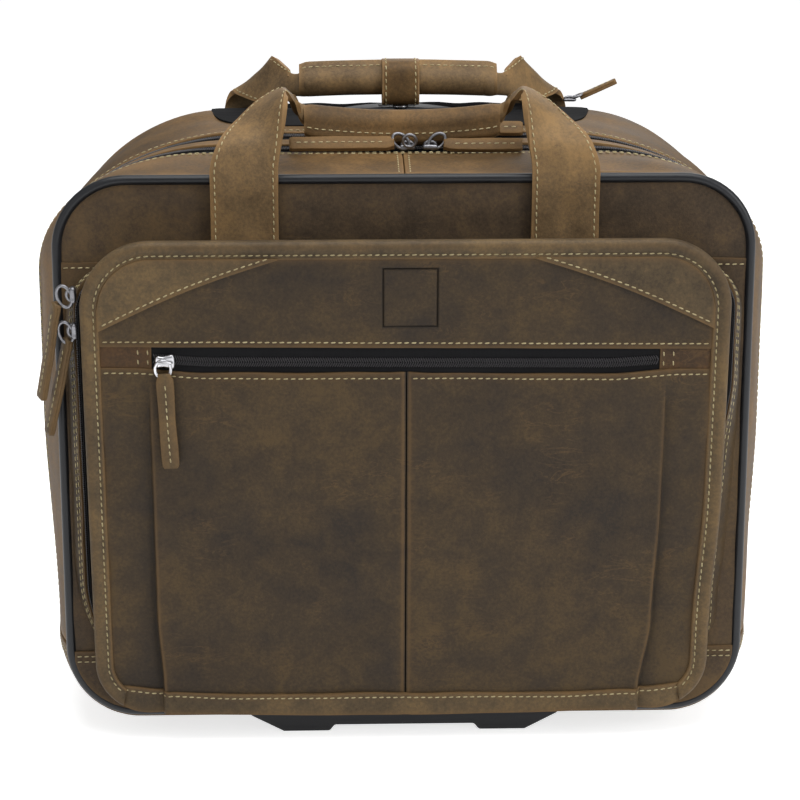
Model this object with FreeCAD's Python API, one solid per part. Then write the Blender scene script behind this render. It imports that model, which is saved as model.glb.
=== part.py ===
"""Rolling laptop case: a leather trolley briefcase with two zipped compartments, a zipped organizer
pocket on its front, two carry handles, a telescopic handle, two wheels and a front stand.

Millimetres. +X is the wearer's right seen from the front, +Y runs to the back, +Z is up.  Everything is
drawn with Y = 0 at the front piping, and export() moves it so that the origin is the middle of the
footprint on the floor.
"""
import FreeCAD
import Part

import math
import os

V = FreeCAD.Vector
X_AXIS = V(1, 0, 0)
Y_AXIS = V(0, 1, 0)
Z_AXIS = V(0, 0, 1)
FAR = 400.0                 # half size of the blocks used only to cut

# ---- driving dimensions -------------------------------------------------------------------------
MIDDLE_Y = 86.0             # from the front piping back to the middle of the footprint
WALL = 4.0                  # leather, foam and lining together
GAP = 0.6                   # between pieces that part from each other
RUN_FIT = 0.05              # radial clearance of a piece that slides or turns in another

BODY_LOW = 14.0             # underside of the body
# y, half width, top, lower corner radius, upper corner's reach across and down
BODY_SECTIONS = [
    (4.0, 209.5, 356.0, 44.0, 45.0, 45.0),
    (30.0, 219.0, 359.5, 47.0, 85.0, 62.0),
    (59.0, 225.0, 362.5, 50.0, 112.0, 76.0),
    (88.0, 228.0, 366.0, 52.0, 135.0, 92.0),
    (140.0, 226.0, 368.0, 54.0, 120.0, 100.0),
    (190.0, 214.0, 367.0, 54.0, 100.0, 105.0),
    (205.0, 206.0, 361.0, 50.0, 95.0, 100.0),
]
TRAY_TOP = 60.0             # the bottom tray's rim
FRONT_ZIP = (50.0, 58.4, 59.0, 68.0)     # front tape from, to; divider tape from, to
REAR_ZIP = (78.0, 87.6, 88.2, 98.0)      # divider tape from, to; rear tape from, to
TAPE_INSET = 1.2
TAPE_THICK = 1.8
BACK_FACE = 197.0           # inner face of the back panel

PIPING_HALF = 207.0
PIPING_LOW, PIPING_HIGH = 18.0, 353.0
PIPING_CORNER = 42.0
PIPING_R = 3.0
PANEL_THICK = 4.0

ORGANIZER_TILT = 3.8        # degrees, plane of the pocket's leather band
FLAP_TILT = 5.5             # degrees, plane of the flap
POCKET_LOW = 17.0
BAND_Y, FLAP_Y = -4.6, -5.6
FLAP_HALF, FLAP_TOP = 191.0, 325.0
FLAP_R_LOW, FLAP_R_HIGH = 22.0, 42.0
BINDING = 10.5              # width of the flap's rolled edge
BINDING_PROUD = 1.5
FLAP_THICK = 4.0
SLOT_HALF, SLOT_LOW, SLOT_HIGH = 150.0, 246.0, 259.5

STRAP_X, STRAP_WIDE, STRAP_THICK = 95.0, 40.0, 4.0
FRONT_HINGE = (-4.5, 359.5)              # y, z of the front carry handle's bend
REAR_HINGE = (207.0, 362.0)
FRONT_GRIP = (62.0, 377.0, 60.0)         # y, z, half length
REAR_GRIP = (150.0, 391.0, 65.0)
GRIP_FRONT_R = (6.0, 10.5)               # half depth, half height
REAR_GRIP_R = 9.0

TUBE_X, TUBE_Y = 55.0, 186.0
TUBE_R = (10.0, 8.95, 7.9)               # outer radii of the three stages
TUBE_SKIN = 1.0
TUBE_LOW = (34.0, 38.0, 42.0)
TUBE_HIGH = (340.0, 350.0, 356.0)
TROLLEY_HALF, TROLLEY_LOW, TROLLEY_SHOULDER, TROLLEY_TOP = 68.0, 352.0, 360.0, 371.0
TROLLEY_DEPTH = (177.0, 195.0)
GARAGE_X = (-120.0, 128.0)
GARAGE_Y = (166.0, 203.0)
GARAGE_Z = (359.0, 371.0)
SLOT_Y = (174.0, 198.0)
SLOT_X = 74.0

WHEEL_X, WHEEL_Y, WHEEL_R, WHEEL_WIDE = 152.0, 186.0, 27.0, 24.0
AXLE_R, BUSH_R, HUB_R = 4.0, 6.0, 20.0
HOUSING_HALF, HOUSING_WALL, HOUSING_TOP = 18.0, 3.0, 59.4
HOUSING_FRONT = 152.0

STAND_Y = (6.0, 24.0)


# ---- helpers ------------------------------------------------------------------------------------
def block(x0, x1, y0, y1, z0, z1):
    """A box given by its limits."""
    return Part.makeBox(x1 - x0, y1 - y0, z1 - z0, V(x0, y0, z0))


def rod(radius, length, start, axis=X_AXIS):
    """A round bar from start along axis."""
    return Part.makeCylinder(radius, length, start, axis)


def mirrored(solid):
    """The same solid on the other side of the case's middle."""
    return solid.mirror(V(0, 0, 0), X_AXIS)


def tilted(shape, degrees, y, z):
    """The shape turned forward about a line across the case at y, z."""
    turned = shape.copy()
    turned.rotate(V(0, y, z), X_AXIS, degrees)
    return turned


def outline(half, low, high, r_low, across, down=None, y=0.0):
    """A rounded rectangle standing across the case at y; its upper corners are quarter ellipses that
    reach across and down, or quarter circles when down is left out."""
    bend = math.sqrt(0.5)
    reach = 4 / 3 * (math.sqrt(2) - 1)
    down = across if down is None else down

    def corner(side_x, side_z, wide, tall, z):
        """The points of one corner, walked from its flat side to its upright side."""
        middle_x = side_x * (half - wide)
        middle_z = z - side_z * tall
        if wide == tall:
            shares = [(0.0, 1.0), (bend, bend), (1.0, 0.0)]
        else:
            shares = [(0.0, 1.0), (reach, 1.0), (1.0, reach), (1.0, 0.0)]
        return [V(middle_x + side_x * a * wide, y, middle_z + side_z * b * tall) for a, b in shares]

    right_low = corner(1, -1, r_low, r_low, low)
    right_high = corner(1, 1, across, down, high)[::-1]
    left_high = corner(-1, 1, across, down, high)
    left_low = corner(-1, -1, r_low, r_low, low)[::-1]
    corners = [right_low, right_high, left_high, left_low]
    edges = []
    for index, points in enumerate(corners):
        after = corners[(index + 1) % 4]
        if len(points) == 3:
            edges.append(Part.Arc(*points).toShape())
        else:
            curve = Part.BezierCurve()
            curve.setPoles(points)
            edges.append(curve.toShape())
        edges.append(Part.LineSegment(points[-1], after[0]).toShape())
    return Part.Wire(edges)


def plate(shape, y0, y1):
    """A plate of a rounded-rectangle outline between two depths."""
    wire = outline(*shape, y=y0)
    return Part.Face(wire).extrude(V(0, y1 - y0, 0))


def shrunk(shape, inset):
    """The outline's numbers drawn in by inset on every side."""
    half, low, high, *bends = shape
    return (half - inset, low + inset, high - inset) + tuple(bend - inset for bend in bends)


def body_solid(inset):
    """The whole body's outer form drawn in by inset."""
    wires = []
    for y, half, high, *bends in BODY_SECTIONS:
        shape = shrunk((half, BODY_LOW, high, *bends), inset)
        wires.append(outline(*shape, y=y))
    return Part.makeLoft(wires, True, True)


def between(shape, y0, y1, z0=-FAR, z1=FAR, x0=-FAR, x1=FAR):
    """The part of a shape inside the given limits."""
    return shape.common(block(x0, x1, y0, y1, z0, z1))


def profile_bar(points, y0, y1):
    """A bar with a straight-sided outline in X and Z, from y0 to y1."""
    wire = Part.makePolygon([V(x, y0, z) for x, z in points + points[:1]])
    return Part.Face(wire).extrude(V(0, y1 - y0, 0))


def ribbon(sections):
    """A strap through cross-sections: one edge, the other edge, the way its outer face looks, thickness."""
    wires = []
    for first, second, way, thick in sections:
        first, second, out = V(*first), V(*second), V(*way)
        out = out / out.Length * (thick / 2)
        corners = [first - out, second - out, second + out, first + out]
        wires.append(Part.makePolygon(corners + corners[:1]))
    return Part.makeLoft(wires, True, True)


def bar_grip(half, y, ends_z, middle_z, depth, height):
    """A padded grip across the case: ellipses whose middle lies higher or lower than its ends."""
    wires = []
    for share in (-1.0, -0.5, 0.0, 0.5, 1.0):
        z = middle_z + (ends_z - middle_z) * share * share
        if height >= depth:
            ellipse = Part.Ellipse(V(0, 0, 0), height, depth)
        else:
            ellipse = Part.Ellipse(V(0, 0, 0), depth, height)
        edge = ellipse.toShape()
        edge.rotate(V(0, 0, 0), Y_AXIS, 90)
        edge.translate(V(share * half, y, z))
        wires.append(Part.Wire([edge]))
    return Part.makeLoft(wires, True, False)


def tube(outer, inner, x, y, z0, z1):
    """An upright tube."""
    skin = rod(outer, z1 - z0, V(x, y, z0), Z_AXIS)
    return skin.cut(rod(inner, z1 - z0, V(x, y, z0), Z_AXIS))


def slanted_bar(start, end, first, second):
    """A bar from start to end, whose cross-section is spanned by two half-size vectors."""
    corners = [first * a + second * b for a, b in ((-1, -1), (1, -1), (1, 1), (-1, 1))]
    wires = [Part.makePolygon([at + c for c in corners + corners[:1]]) for at in (start, end)]
    return Part.makeLoft(wires, True, True)


def wire_ring(radius, thick, centre, axis):
    """A ring of round wire."""
    return Part.makeTorus(radius, thick, centre, axis)


# ---- body of the case ---------------------------------------------------------------------------
def body_bands():
    """The leather gussets, zip tapes and tray, all cut from one hollow form."""
    outer = body_solid(0)
    leather = outer.cut(body_solid(WALL))
    tape = body_solid(TAPE_INSET).cut(body_solid(TAPE_INSET + TAPE_THICK))
    rim = TRAY_TOP + GAP
    first, last = BODY_SECTIONS[0][0], BODY_SECTIONS[-1][0]
    garage = block(*GARAGE_X, *GARAGE_Y, GARAGE_Z[0] - 20, GARAGE_Z[1])

    rear_band = between(leather, REAR_ZIP[3], BACK_FACE, TRAY_TOP).cut(garage)
    front_band = between(leather, first, FRONT_ZIP[0], rim)
    strip = between(leather, FRONT_ZIP[3], REAR_ZIP[0], rim)
    halves = {"left": (-FAR, 0.0), "right": (0.0, FAR)}
    parts = {}
    for side, (x0, x1) in halves.items():
        parts["rear_gusset_" + side] = [between(rear_band, -FAR, FAR, x0=x0, x1=x1)]
        parts["divider_gusset_" + side] = [between(strip, -FAR, FAR, x0=x0, x1=x1)]
        parts["front_gusset_" + side] = [between(front_band, -FAR, FAR, x0=x0, x1=x1)]

    parts["front_zip_tape"] = [between(tape, FRONT_ZIP[0], FRONT_ZIP[1], rim)]
    parts["divider_zip_tapes"] = [
        between(tape, FRONT_ZIP[2], FRONT_ZIP[3], rim),
        between(tape, REAR_ZIP[0], REAR_ZIP[1], rim),
    ]
    parts["rear_zip_tape"] = [between(tape, REAR_ZIP[2], REAR_ZIP[3], TRAY_TOP)]
    parts["rear_panel"] = [between(outer, BACK_FACE, last, TRAY_TOP).cut(garage)]

    tray = between(leather, first, last, z1=TRAY_TOP)
    front_wall = between(body_solid(WALL), first, first + 2.0, z1=TRAY_TOP)
    back_wall = between(body_solid(WALL), BACK_FACE, last, z1=TRAY_TOP)
    tray = tray.fuse([front_wall, back_wall]).removeSplitter()
    for wheel_x in (-WHEEL_X, WHEEL_X):
        x0, x1 = wheel_x - HOUSING_HALF, wheel_x + HOUSING_HALF
        tray = tray.cut(block(x0, x1, HOUSING_FRONT, last + 1, BODY_LOW - 1, HOUSING_TOP))
    parts["bottom_tray"] = [tray]

    inner = body_solid(WALL)
    parts["divider_panel"] = [between(inner, 71.5, 74.5, rim)]
    return parts


def front_face():
    """The front panel and the piping round its edge."""
    path = outline(PIPING_HALF, PIPING_LOW, PIPING_HIGH, PIPING_CORNER, PIPING_CORNER, y=1.0)
    start = path.OrderedVertexes[0].Point
    direction = path.OrderedEdges[0].tangentAt(path.OrderedEdges[0].FirstParameter)
    circle = Part.Wire([Part.makeCircle(PIPING_R, start, direction)])
    piping = path.makePipeShell([circle], True, True)
    shape = shrunk((PIPING_HALF, PIPING_LOW, PIPING_HIGH, PIPING_CORNER, PIPING_CORNER), 2.0)
    panel = plate(shape, -0.5, PANEL_THICK - 0.5).cut(piping)
    return {"front_panel": [panel], "front_piping": [piping]}


def case_inside():
    """The stiff board on the tray's floor and the padded laptop sleeve behind it."""
    floor = BODY_LOW + WALL
    board = block(-160, 160, 8, 146, floor, floor + 2)
    rail = block(-130, 130, 146, 172, floor, floor + 2)
    sleeve = block(-185, 185, 148, 172, HOUSING_TOP, 270)
    sleeve = sleeve.cut(block(-182, 182, 151, 169, HOUSING_TOP + 3, 271))
    return {"base_board": [board.fuse(rail).removeSplitter()], "laptop_sleeve": [sleeve]}


# ---- organizer pocket on the front --------------------------------------------------------------
def organizer():
    """The pocket's leather band, zip tape and inner pockets, which stay on the front panel."""
    base = (203.0, POCKET_LOW + 5.0, 302.0, 90.0, 31.0)
    rim = (196.0, POCKET_LOW, 307.0, 85.0, 27.0)

    def wedge(inset):
        wide = outline(*shrunk(base, inset), y=-0.5)
        narrow = tilted(outline(*shrunk(rim, inset), y=BAND_Y), ORGANIZER_TILT, BAND_Y, POCKET_LOW)
        return Part.makeLoft([wide, narrow], True, True)

    band = wedge(0).cut(wedge(3.0))
    inside = shrunk(rim, 3.0)
    tape = plate(inside, -60, 0).cut(plate(shrunk(inside, 1.5), -60, 0))
    behind_flap = block(-FAR, FAR, FLAP_Y + GAP, 100, -FAR, FAR)
    before_band = block(-FAR, FAR, -100, BAND_Y + 1.5, -FAR, FAR)
    tape = tape.common(tilted(behind_flap, FLAP_TILT, FLAP_Y, POCKET_LOW))
    tape = tape.common(tilted(before_band, ORGANIZER_TILT, BAND_Y, POCKET_LOW)).cut(band)

    slip = block(-165, -10, -3.2, -0.5, 60, 190)
    cards = [block(10, 86, -3.2, -0.5, 60, 150), block(92, 165, -3.2, -0.5, 60, 150)]
    loops = [block(x, x + 14, -3.2, -0.5, 168, 186) for x in (20, 44, 68)]
    return {"organizer_gusset": [band], "organizer_zip_tape": [tape], "organizer_pockets": [slip] + cards + loops}


def flap():
    """The organizer's front flap: panel with its zipped pocket, and the rolled binding."""
    shape = (FLAP_HALF, POCKET_LOW, FLAP_TOP, FLAP_R_LOW, FLAP_R_HIGH)
    field = shrunk(shape, BINDING)
    front = FLAP_Y - FLAP_THICK
    slot = block(-SLOT_HALF, SLOT_HALF, front - 1, FLAP_Y + 1, SLOT_LOW, SLOT_HIGH)
    panel = plate(field, front, FLAP_Y).cut(slot)
    ring = plate(shape, front - BINDING_PROUD, FLAP_Y).cut(plate(field, front - BINDING_PROUD, FLAP_Y))
    zip_band = block(-SLOT_HALF, SLOT_HALF, front + 1.0, FLAP_Y, SLOT_LOW, SLOT_HIGH)
    pieces = {"flap_panel": panel, "flap_binding": ring, "pocket_zip": zip_band}
    return {name: [tilted(piece, FLAP_TILT, FLAP_Y, POCKET_LOW)] for name, piece in pieces.items()}


def pocket_slider():
    """The flap pocket's zip slider with its ring, and its leather pull."""
    face = FLAP_Y - FLAP_THICK + 1.0
    x, z = -142.0, 252.5
    slider = block(x - 5, x + 5, face - 3.8, face - 0.4, z - 4, z + 4)
    link = wire_ring(4.0, 0.9, V(x, face - 4.2, z - 5.5), Y_AXIS)
    pull = block(x - 5, x + 5, face - 5.9, face - 2.9, 186, 240)
    slider = tilted(slider.fuse(link), FLAP_TILT, FLAP_Y, POCKET_LOW)
    pull = tilted(pull, FLAP_TILT, FLAP_Y, POCKET_LOW)
    return {"pocket_slider": [slider], "pocket_pull": [pull]}


def organizer_sliders():
    """Two sliders on the left run of the organizer's zip, each with a ring and a hanging pull."""
    parts = {}
    places = {"upper": (290.0, -206.0, -217.0), "lower": (268.0, -200.0, -213.5)}
    for name, (z, top_x, low_x) in places.items():
        slider = block(-199.4, -194.8, BAND_Y - GAP - 6, BAND_Y - GAP, z - 5, z + 5)
        slider = tilted(slider, ORGANIZER_TILT, BAND_Y, POCKET_LOW)
        y = BAND_Y - GAP - 3 - math.tan(math.radians(ORGANIZER_TILT)) * (z - POCKET_LOW)
        ring = wire_ring(5.0, 0.9, V(-200.0, y, z + 1), Y_AXIS)
        parts["organizer_slider_" + name] = [slider.fuse(ring)]
        top, low = V(top_x, y + 1, z - 8.2), V(low_x, y + 10, z - 65)
        parts["organizer_pull_" + name] = [slanted_bar(top, low, X_AXIS * 1.8, Y_AXIS * 4.5)]
    return parts


# ---- carry handles ------------------------------------------------------------------------------
def carry_handles():
    """Both carry handles: straps that narrow to a padded grip, and the wrap that joins the grips."""
    x, wide, thick = STRAP_X, STRAP_WIDE, STRAP_THICK
    near, far = x - wide / 2, x + wide / 2
    forward, backward = (0, -1, 0), (0, 1, 0)
    y, z = FRONT_HINGE
    front_strap = ribbon([
        ((far, y, z + 0.5), (near, y, z + 0.5), forward, thick),
        ((110, 0, 374), (73.5, -4.5, 372), (0.15, -1, 0.1), thick),
        ((99, 22, 384), (72.5, -3, 387), (0.6, -0.7, 0.3), thick),
        ((88, 33, 393), (71.5, 0, 396), (0.8, -0.4, 0.45), thick),
        ((77, 43, 398.5), (70.5, 9, 401.5), (0.5, -0.1, 0.85), thick),
        ((68, 60, 393), (65.5, 38, 394), (0.2, 0, 1), 8),
        ((60, 67.5, 382), (60, 56.5, 382), (0, 0, 1), 16),
    ])
    front_anchor = ribbon([
        ((far, -2.7, 306), (near, -2.7, 306), forward, thick),
        ((far, -2.9, 330), (near, -2.9, 330), forward, thick),
        ((far, -4.5, 348), (near, -4.5, 348), forward, thick),
        ((far, -4.5, 355.5), (near, -4.5, 355.5), forward, thick),
    ])
    y, z = REAR_HINGE
    rear_strap = ribbon([
        ((far, y, z + 0.5), (near, y, z + 0.5), backward, thick),
        ((113.5, 209, 371.5), (76, 208.5, 380), (0.1, 1, 0.1), thick),
        ((110, 204.5, 379), (78.5, 200, 394), (0.3, 0.8, 0.5), thick),
        ((104.5, 192, 380), (82, 181, 401), (0.62, 0.1, 0.62), thick),
        ((88, 171, 377), (74, 166, 398), (0.6, -0.7, 0.3), 7),
        ((74, 156, 380), (69, 156, 397), (0.1, -1, 0.05), 12),
        ((65, 150, 382), (65, 150, 396), forward, 14),
    ])
    rear_anchor = block(x - wide / 2, x + wide / 2, BODY_SECTIONS[-1][0], 209, 290, 356)

    grip_y, grip_z, grip_half = FRONT_GRIP
    front_grip = bar_grip(grip_half, grip_y, grip_z + 5, grip_z, *GRIP_FRONT_R)
    grip_y, grip_z, grip_half = REAR_GRIP
    rear_grip = bar_grip(grip_half, grip_y, grip_z - 2, grip_z, REAR_GRIP_R, REAR_GRIP_R)

    wrap_x0, wrap_x1 = -10.5, 13.5
    wrap = block(wrap_x0, wrap_x1, grip_y - 13.5, grip_y + 13.5, 376, 406)
    wrap = wrap.makeFillet(6.0, [e for e in wrap.Edges if abs(e.tangentAt(e.FirstParameter).x) > 0.9])
    wrap = wrap.cut(block(wrap_x0, wrap_x1, grip_y - 10, grip_y + 10, 379.5, 402.5))
    snap = rod(5.5, 3.0, V((wrap_x0 + wrap_x1) / 2, grip_y, 373), Z_AXIS)
    return {
        "front_handle_straps": [front_strap, mirrored(front_strap)],
        "front_strap_anchors": [front_anchor, mirrored(front_anchor)],
        "front_handle_grip": [front_grip],
        "rear_handle_straps": [rear_strap, mirrored(rear_strap)],
        "rear_strap_anchors": [rear_anchor, mirrored(rear_anchor)],
        "rear_handle_grip": [rear_grip],
        "handle_wrap": [wrap],
        "wrap_snap": [snap],
    }


# ---- zip sliders on the top ---------------------------------------------------------------------
def lying_pull(x0, x1, y, z):
    """A doubled leather pull that lies along the top."""
    return block(x0, x1, y - 4.5, y + 4.5, z, z + 4)


def top_sliders():
    """The front zip's two sliders, the rear zip's one and the handle garage's one, with their pulls."""
    parts = {}
    front_y, front_z = 51.0, 362.0
    for name, slider_x, pull in (("left", 3.0, (-69.0, -8.0)), ("right", 17.0, (28.0, 73.0))):
        slider = block(slider_x - 4.5, slider_x + 4.5, front_y - 4, front_y + 4, front_z, front_z + 3.5)
        side = -1 if name == "left" else 1
        ring = wire_ring(5.0, 0.9, V(slider_x + side * 3.0, front_y, front_z + 5.5), Y_AXIS)
        parts["top_slider_" + name] = [slider.fuse(ring)]
        parts["top_pull_" + name] = [lying_pull(*pull, front_y, front_z + 0.6)]

    rear_y, rear_z = 83.0, 366.2
    slider = block(20, 29, rear_y - 4, rear_y + 4, rear_z, rear_z + 3.5)
    ring = wire_ring(4.0, 0.9, V(27, rear_y, rear_z + 4.0), Y_AXIS)
    parts["rear_zip_slider"] = [slider.fuse(ring)]
    parts["rear_zip_pull"] = [lying_pull(34, 76, rear_y, rear_z + 0.6)]

    garage_x, garage_y = 116.0, 199.5
    top = GARAGE_Z[1] + 0.4
    slider = block(garage_x - 5, garage_x + 5, garage_y - 2.2, garage_y + 3.5, top, top + 3.2)
    parts["garage_slider"] = [slider]
    start = V(garage_x + 7.6, garage_y + 0.8, top + 2.0)
    parts["garage_pull"] = [slanted_bar(start, start + V(24, 0, 11), Y_AXIS * 3.0, V(-0.6, 0, 1.6))]
    return parts


# ---- telescopic handle --------------------------------------------------------------------------
def telescopic_handle():
    """Three nested pairs of tubes, the grip with its release button, and the fabric garage above them."""
    stages = []
    for radius, low, high in zip(TUBE_R, TUBE_LOW, TUBE_HIGH):
        stages.append([tube(radius, radius - TUBE_SKIN, x, TUBE_Y, low, high) for x in (-TUBE_X, TUBE_X)])

    floor = BODY_LOW + WALL
    base = block(-72, 72, 174, 196.9, floor, TUBE_LOW[0])
    collar = block(-72, 72, 175, 196.9, TUBE_HIGH[0], TUBE_HIGH[0] + 7)
    for x in (-TUBE_X, TUBE_X):
        collar = collar.cut(rod(TUBE_R[1] + RUN_FIT, 20, V(x, TUBE_Y, TUBE_HIGH[0] - 5), Z_AXIS))

    half, shoulder = TROLLEY_HALF, TROLLEY_SHOULDER
    y0, y1 = TROLLEY_DEPTH
    crown = Part.Arc(V(-half, y0, shoulder), V(0, y0, TROLLEY_TOP), V(half, y0, shoulder)).toShape()
    sides = Part.makePolygon([V(half, y0, shoulder), V(half, y0, TROLLEY_LOW), V(-half, y0, TROLLEY_LOW),
                              V(-half, y0, shoulder)])
    grip = Part.Face(Part.Wire([crown] + sides.Edges)).extrude(V(0, y1 - y0, 0))
    for x in (-TUBE_X, TUBE_X):
        grip = grip.cut(rod(TUBE_R[2], TUBE_HIGH[2] - TROLLEY_LOW + 1, V(x, TUBE_Y, TROLLEY_LOW - 1), Z_AXIS))
    button_x, button_y, button_travel = 12.0, 5.0, 4.0
    pocket_floor = 357.5
    grip = grip.cut(block(-button_x, button_x, TUBE_Y - button_y, TUBE_Y + button_y, pocket_floor, 380))
    inset = 0.1
    button = block(-button_x + inset, button_x - inset, TUBE_Y - button_y + inset, TUBE_Y + button_y - inset,
                   pocket_floor + button_travel + 0.5, TROLLEY_TOP + 0.5)

    garage = block(*GARAGE_X, *GARAGE_Y, *GARAGE_Z)
    garage = garage.cut(block(-SLOT_X, SLOT_X, *SLOT_Y, GARAGE_Z[0] - 1, GARAGE_Z[1] + 1))
    return {
        "outer_tubes": stages[0],
        "middle_tubes": stages[1],
        "inner_tubes": stages[2],
        "tube_base": [base],
        "tube_collar": [collar],
        "trolley_grip": [grip],
        "release_button": [button],
        "handle_garage": [garage],
    }


# ---- running gear -------------------------------------------------------------------------------
def running_gear():
    """Two wheels on axles in their housings, and the front stand."""
    parts = {"wheel_housings": [], "wheel_axles": [], "axle_bushes": []}
    back = BODY_SECTIONS[-1][0]
    for side, x in (("left", -WHEEL_X), ("right", WHEEL_X)):
        x0, x1 = x - HOUSING_HALF, x + HOUSING_HALF
        housing = block(x0, x1, HOUSING_FRONT, back, BODY_LOW, HOUSING_TOP)
        hollow = block(x0 + HOUSING_WALL, x1 - HOUSING_WALL, HOUSING_FRONT + HOUSING_WALL, back + 1,
                       BODY_LOW - 1, HOUSING_TOP - HOUSING_WALL)
        axle = rod(AXLE_R, 2 * HOUSING_HALF, V(x0, WHEEL_Y, WHEEL_R))
        centre = V(x - WHEEL_WIDE / 2, WHEEL_Y, WHEEL_R)
        bush = rod(BUSH_R, WHEEL_WIDE + 2, centre - X_AXIS)
        bore = rod(BUSH_R + RUN_FIT, WHEEL_WIDE, centre)
        hub = rod(HUB_R, WHEEL_WIDE, centre)
        tyre = rod(WHEEL_R, WHEEL_WIDE, centre)
        rim_edges = [e for e in tyre.Edges if isinstance(e.Curve, Part.Circle)]
        tyre = tyre.makeFillet(2.5, rim_edges).cut(hub)
        parts["wheel_housings"].append(housing.cut(hollow).cut(axle))
        parts["wheel_axles"].append(axle)
        parts["axle_bushes"].append(bush.cut(axle))
        parts["wheel_hub_" + side] = [hub.cut(bore)]
        parts["wheel_tyre_" + side] = [tyre]

    right = [(44, 4), (47, 0), (76, 0), (97, 11), (97, BODY_LOW)]
    left = [(-x, z) for x, z in reversed(right)]
    parts["front_stand"] = [profile_bar(right + left, *STAND_Y)]
    return parts


def export(parts):
    """Write one STEP file per piece, with the origin in the middle of the footprint."""
    os.makedirs("parts", exist_ok=True)
    for name, solids in parts.items():
        shape = solids[0] if len(solids) == 1 else Part.makeCompound(solids)
        shape.translate(V(0, -MIDDLE_Y, 0))
        shape.exportStep("parts/%s.step" % name)


GROUPS = [body_bands, front_face, case_inside, organizer, flap, pocket_slider, organizer_sliders,
          carry_handles, top_sliders, telescopic_handle, running_gear]
export({name: solids for group in GROUPS for name, solids in group().items()})
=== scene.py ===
"""Rolling laptop case in worn brown leather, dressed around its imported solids.

Drawn in millimetres with Y = 0 at the front piping, +X to the right seen from the front, +Z up; place()
turns that into metres in the shared frame.
"""

import math

import bpy
import numpy as np
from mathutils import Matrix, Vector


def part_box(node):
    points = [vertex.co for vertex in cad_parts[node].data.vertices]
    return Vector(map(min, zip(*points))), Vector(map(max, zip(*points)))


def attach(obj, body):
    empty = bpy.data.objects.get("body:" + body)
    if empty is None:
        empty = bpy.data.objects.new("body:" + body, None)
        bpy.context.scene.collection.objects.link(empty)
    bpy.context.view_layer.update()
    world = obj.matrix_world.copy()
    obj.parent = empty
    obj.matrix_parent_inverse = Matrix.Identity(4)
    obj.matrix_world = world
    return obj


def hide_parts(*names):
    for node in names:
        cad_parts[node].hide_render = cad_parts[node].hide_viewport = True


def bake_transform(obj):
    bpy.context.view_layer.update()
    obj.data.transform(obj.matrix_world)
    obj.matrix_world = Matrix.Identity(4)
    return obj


bl_info = {
    "name": "Rolling laptop case",
    "version": (1, 0, 0),
    "blender": (4, 5, 0),
    "location": "View3D > Sidebar > Case",
    "description": "Builds a leather trolley case piece by piece around its solids",
    "category": "Add Mesh",
}

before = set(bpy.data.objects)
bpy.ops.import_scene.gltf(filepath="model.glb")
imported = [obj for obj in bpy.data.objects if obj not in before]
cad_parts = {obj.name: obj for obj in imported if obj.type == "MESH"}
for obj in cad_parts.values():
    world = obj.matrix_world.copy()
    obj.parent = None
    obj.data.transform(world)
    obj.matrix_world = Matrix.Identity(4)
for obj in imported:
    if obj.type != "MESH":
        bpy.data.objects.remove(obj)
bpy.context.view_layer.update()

# ---- sizes shared by the pieces, in millimetres ---------------------------------------------------
MM = 0.001
PIPING_LOW, PIPING_HIGH = (np.array(corner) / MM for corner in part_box("front_piping"))
FRONT_Y = (PIPING_LOW[1] + PIPING_HIGH[1]) / 2 - 1.0     # shared-frame Y of the drawing's Y = 0

BODY_LOW = 14.0
# y, half width, top, lower corner radius, upper corner's reach across and down
BODY_SECTIONS = np.array([
    (0.0, 207.5, 355.5, 43.0, 44.0, 43.0),
    (30.0, 219.0, 359.5, 47.0, 85.0, 62.0),
    (59.0, 225.0, 362.5, 50.0, 112.0, 76.0),
    (88.0, 228.0, 366.0, 52.0, 135.0, 92.0),
    (140.0, 226.0, 368.0, 54.0, 120.0, 100.0),
    (190.0, 214.0, 367.0, 54.0, 100.0, 105.0),
    (206.0, 205.0, 360.5, 50.0, 95.0, 99.0),
])
TRAY_TOP = 60.0
FRONT_ZIP = (50.0, 58.7, 68.0)           # leather edge, meeting line, leather edge
REAR_ZIP = (78.0, 87.9, 98.0)
# outlines: half width, bottom, top, lower corner radius, upper corner's reach across and down
PIPING = (207.0, 18.0, 353.0, 42.0, 42.0, 42.0)
PANEL = (205.5, 19.5, 351.5, 40.5, 40.5, 40.5)
ORGANIZER_BASE = (203.0, 24.0, 302.0, 90.0, 31.0, 31.0)
ORGANIZER_RIM = (196.0, 22.5, 307.0, 85.0, 27.0, 27.0)
BAND_Y, BAND_TILT = -4.6, 3.8
FLAP = (191.0, 20.8, 325.0, 33.0, 42.0, 42.0)
FLAP_Y, FLAP_TILT, HINGE_Z = -5.6, 5.5, 17.0
FLAP_FACE = FLAP_Y - 4.0
BINDING_WIDE = 10.5
SLOT_HALF = 150.0                        # the pocket opening in the flap
CAMERA_AT = (-42.8, -1400.0, 593.0)
CAMERA_TURN = (75.0, 0.0, -1.63)
CAMERA_LENS = 107.7


# ---- arrays of points -----------------------------------------------------------------------------
def place(points):
    """Drawing millimetres to metres in the shared frame."""
    return (np.asarray(points, float) + (0.0, FRONT_Y, 0.0)) * MM


def ease(t):
    """0 below 0, 1 above 1, and a smooth S between: t squared times (3 - 2 t)."""
    t = np.clip(t, 0.0, 1.0)
    return t * t * (3.0 - 2.0 * t)


def unit(vectors):
    """Vectors divided by their lengths."""
    return vectors / np.maximum(np.linalg.norm(vectors, axis=-1, keepdims=True), 1e-9)


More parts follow.
